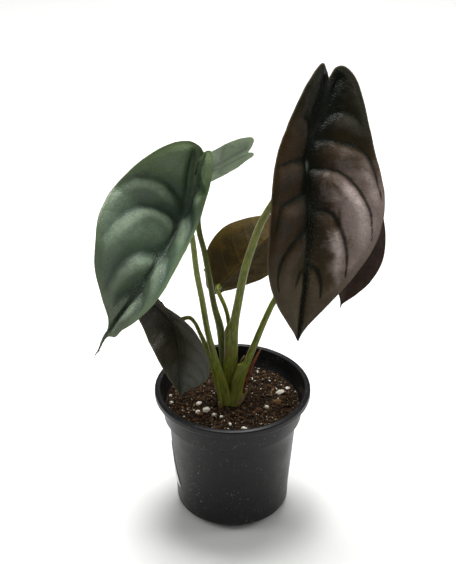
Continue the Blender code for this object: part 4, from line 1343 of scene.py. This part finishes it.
def soil_material():
    shader = Shader("soil_mix", Specular_IOR_Level=0.15)
    coarse = shader.noise(5 * MM, 6, 0.7)
    fine = shader.noise(1.1 * MM, 5, 0.7)
    skin = shader.mix(shader.fade(coarse, 0.35, 0.65), srgb("0a0502"), srgb("24170a"))
    skin = shader.mix(shader.fade(fine, 0.50, 0.70, 0.0, 0.6), skin, srgb("3a2615"))
    flecks = shader.fade(shader.noise(0.8 * MM, 1, 0.4), 0.67, 0.72, 0.0, 0.85)
    skin = shader.mix(flecks, skin, srgb("aa9e86"))
    shader.set("Base Color", skin)
    shader.set("Roughness", shader.fade(fine, 0.3, 0.7, 0.82, 1.0))
    lumps = shader.bump(coarse, 1.6 * MM, strength=0.8)
    shader.set("Normal", shader.bump(fine, 0.7 * MM, lumps, 0.9))
    return shader.material


def grain_material(name, dark, light, fleck, rough_size, roughness=(0.75, 0.95)):
    """Crumbs, chips and perlite: each lump gets its own tone, with pores and flecks."""
    shader = Shader(name, Specular_IOR_Level=0.2)
    tone = shader.value("tone")
    fine = shader.noise(rough_size, 4, 0.65)
    pores = shader.cells(rough_size * 1.6, "F1")
    skin = shader.mix(tone, srgb(dark), srgb(light))
    skin = shader.mix(shader.fade(fine, 0.45, 0.7, 0.0, 0.6), skin, srgb(fleck))
    shader.set("Base Color", skin)
    shader.set("Roughness", shader.fade(fine, 0.3, 0.7, *roughness))
    pits = shader.bump(pores, 0.35 * MM, strength=0.6)
    shader.set("Normal", shader.bump(fine, 0.3 * MM, pits, 0.8))
    return shader.material


def dry_material(name, dark, light, pale):
    """Dried plant tissue: lengthwise fibres from dark to pale."""
    shader = Shader(name)
    grain = shader.value("grain", "Vector")
    streak = shader.noise(0.5 * MM, 4, 0.65, grain)
    patches = shader.noise(4 * MM, 3, 0.6)
    skin = shader.mix(shader.fade(streak, 0.35, 0.65), srgb(dark), srgb(light))
    skin = shader.mix(shader.fade(patches, 0.50, 0.72, 0.0, 0.7), skin, srgb(pale))
    shader.set("Base Color", skin)
    shader.set("Roughness", shader.fade(patches, 0.3, 0.7, 0.55, 0.85))
    shader.set("Normal", shader.bump(streak, 0.25 * MM, strength=0.8))
    return shader.material


def paper_material():
    shader = Shader("sticker_paper_white")
    cloud = shader.noise(9 * MM, 4, 0.6)
    fibre = shader.noise(0.5 * MM, 4, 0.7)
    skin = shader.mix(shader.fade(cloud, 0.4, 0.75), srgb("e8e8e6"), srgb("cfcdc8"))
    skin = shader.mix(shader.fade(fibre, 0.62, 0.75, 0.0, 0.35), skin, srgb("a8a49c"))
    shader.set("Base Color", skin)
    shader.set("Roughness", shader.fade(cloud, 0.3, 0.7, 0.45, 0.62))
    shader.set("Normal", shader.bump(fibre, 0.04 * MM, strength=0.6))
    return shader.material


def floor_material():
    shader = Shader("studio_floor")
    shader.set("Base Color", shader.mix(shader.noise(300 * MM), srgb("efefed"), srgb("f4f4f2")))
    shader.set("Roughness", shader.fade(shader.noise(60 * MM), 0.3, 0.7, 0.75, 0.85))
    return shader.material


def make_floor():
    size = 3.0
    built = bmesh.new()
    bmesh.ops.create_grid(built, x_segments=8, y_segments=8, size=size)
    bmesh.ops.translate(built, verts=built.verts, vec=(0, 0, -0.2 * MM))
    mesh = bpy.data.meshes.new("studio_floor")
    built.to_mesh(mesh)
    built.free()
    mesh.materials.append(floor_material())
    floor = bpy.data.objects.new("studio_floor", mesh)
    bpy.context.scene.collection.objects.link(floor)


def area_light(name, place, target, size, power):
    data = bpy.data.lights.new(name, "AREA")
    data.shape = "DISK"
    data.size = size
    data.energy = power
    lamp = bpy.data.objects.new(name, data)
    lamp.location = place
    lamp.rotation_euler = (Vector(target) - Vector(place)).to_track_quat("-Z", "Y").to_euler()
    bpy.context.scene.collection.objects.link(lamp)


def make_studio():
    scene = bpy.context.scene
    world = bpy.data.worlds.new("studio")
    world.use_nodes = True
    world.node_tree.nodes["Background"].inputs["Color"].default_value = (1, 1, 1, 1)
    world.node_tree.nodes["Background"].inputs["Strength"].default_value = 0.32
    scene.world = world
    scene.view_settings.view_transform = "Standard"
    middle = (0, 0, 0.22)
    area_light("soft_top", (0.05, 0.35, 1.5), middle, 0.8, 32)
    area_light("soft_left", (-1.2, -0.2, 1.0), middle, 0.7, 4)
    area_light("soft_right", (1.3, 0.1, 0.9), middle, 0.7, 3.5)
    data = bpy.data.cameras.new("camera")
    data.sensor_fit = "VERTICAL"
    data.sensor_height = SENSOR_HEIGHT
    data.lens = CAMERA_LENS
    camera = bpy.data.objects.new("camera", data)
    camera.location = CAMERA_PLACE
    camera.rotation_euler = (math.pi / 2 - CAMERA_DOWN, 0, 0)
    scene.collection.objects.link(camera)
    scene.camera = camera


def main():
    make_studio()
    make_floor()
    make_pot(pot_material())
    make_label(paper_material())
    make_soil(soil_material())
    make_corm(dry_material("corm_skin_brown", "2c1c10", "5a3d22", "8a6a42"))

    skins = {}
    for key, tones in LEAF_COLOURS.items():
        skins[key] = leaf_material("leaf_" + key, {**COMMON_LOOK, **tones})
    wear = {
        "leaf_front_left": ("grey_green", "leaf_grey_green"),
        "leaf_front_right": ("copper", "leaf_copper"),
        "leaf_low_left": ("olive", "leaf_olive"),
        "leaf_back_left": ("silver_green", "leaf_grey_green"),
        "leaf_back_center": ("olive", "leaf_olive"),
        "leaf_back_right": ("maroon", "leaf_copper"),
    }
    blades = {}
    for i, (name, spec) in enumerate(LEAVES.items()):
        key, slot = wear[name]
        blades[name] = make_leaf(name, spec, skins[key], i * 3.7)
    tones = dict(dark="4a500c", light="6a7416", brown="665a1e", base="939a48")
    green = petiole_material("petiole_green_skin", tones)
    tones = dict(dark="3c410a", light="5a6214", brown="4a4416", base="565e1c")
    deep = petiole_material("petiole_deep_skin", tones)
    for name, spec in PETIOLES.items():
        skin = deep if name == "petiole_back_left" else green
        make_petiole(name, spec, blades[spec["leaf"]], skin)

    rust = dry_material("dry_rust", "3c1a0a", "8a431a", "b5713a")
    husk = dry_material("dry_husk", "5a4526", "9c8452", "c8b88e")
    thread = dry_material("dry_black", "0c0b0a", "1d1915", "2e2820")
    make_dry_stub(rust)
    for i, spec in enumerate(SCALES):
        make_scale(i, spec, husk)
    make_drip_tip(blades["leaf_front_left"], thread)

    white = grain_material("perlite_grain", "cfc8b4", "efece2", "a89d88", 0.9 * MM)
    wood = grain_material("bark_grain", "4a3220", "8a6a42", "2e2016", 1.0 * MM)
    crumb = grain_material("soil_crumb", "0b0603", "3a2614", "604628", 0.7 * MM)
    make_listed_chips(PERLITE, "perlite", 4, white, 0, 0.30)
    make_listed_chips(BARK, "bark", 4, wood, 20, 0.34)
    make_crumbs("soil_crumbs", 1300, (0.5, 1.5), crumb, 101)
    make_crumbs("soil_coarse", 70, (1.5, 2.6), crumb, 202, 2)
    make_crumbs("bark_bits", 150, (0.6, 1.6), wood, 303)
    make_crumbs("perlite_bits", 260, (0.25, 0.85), white, 404)
    make_fibres(wood)


main()
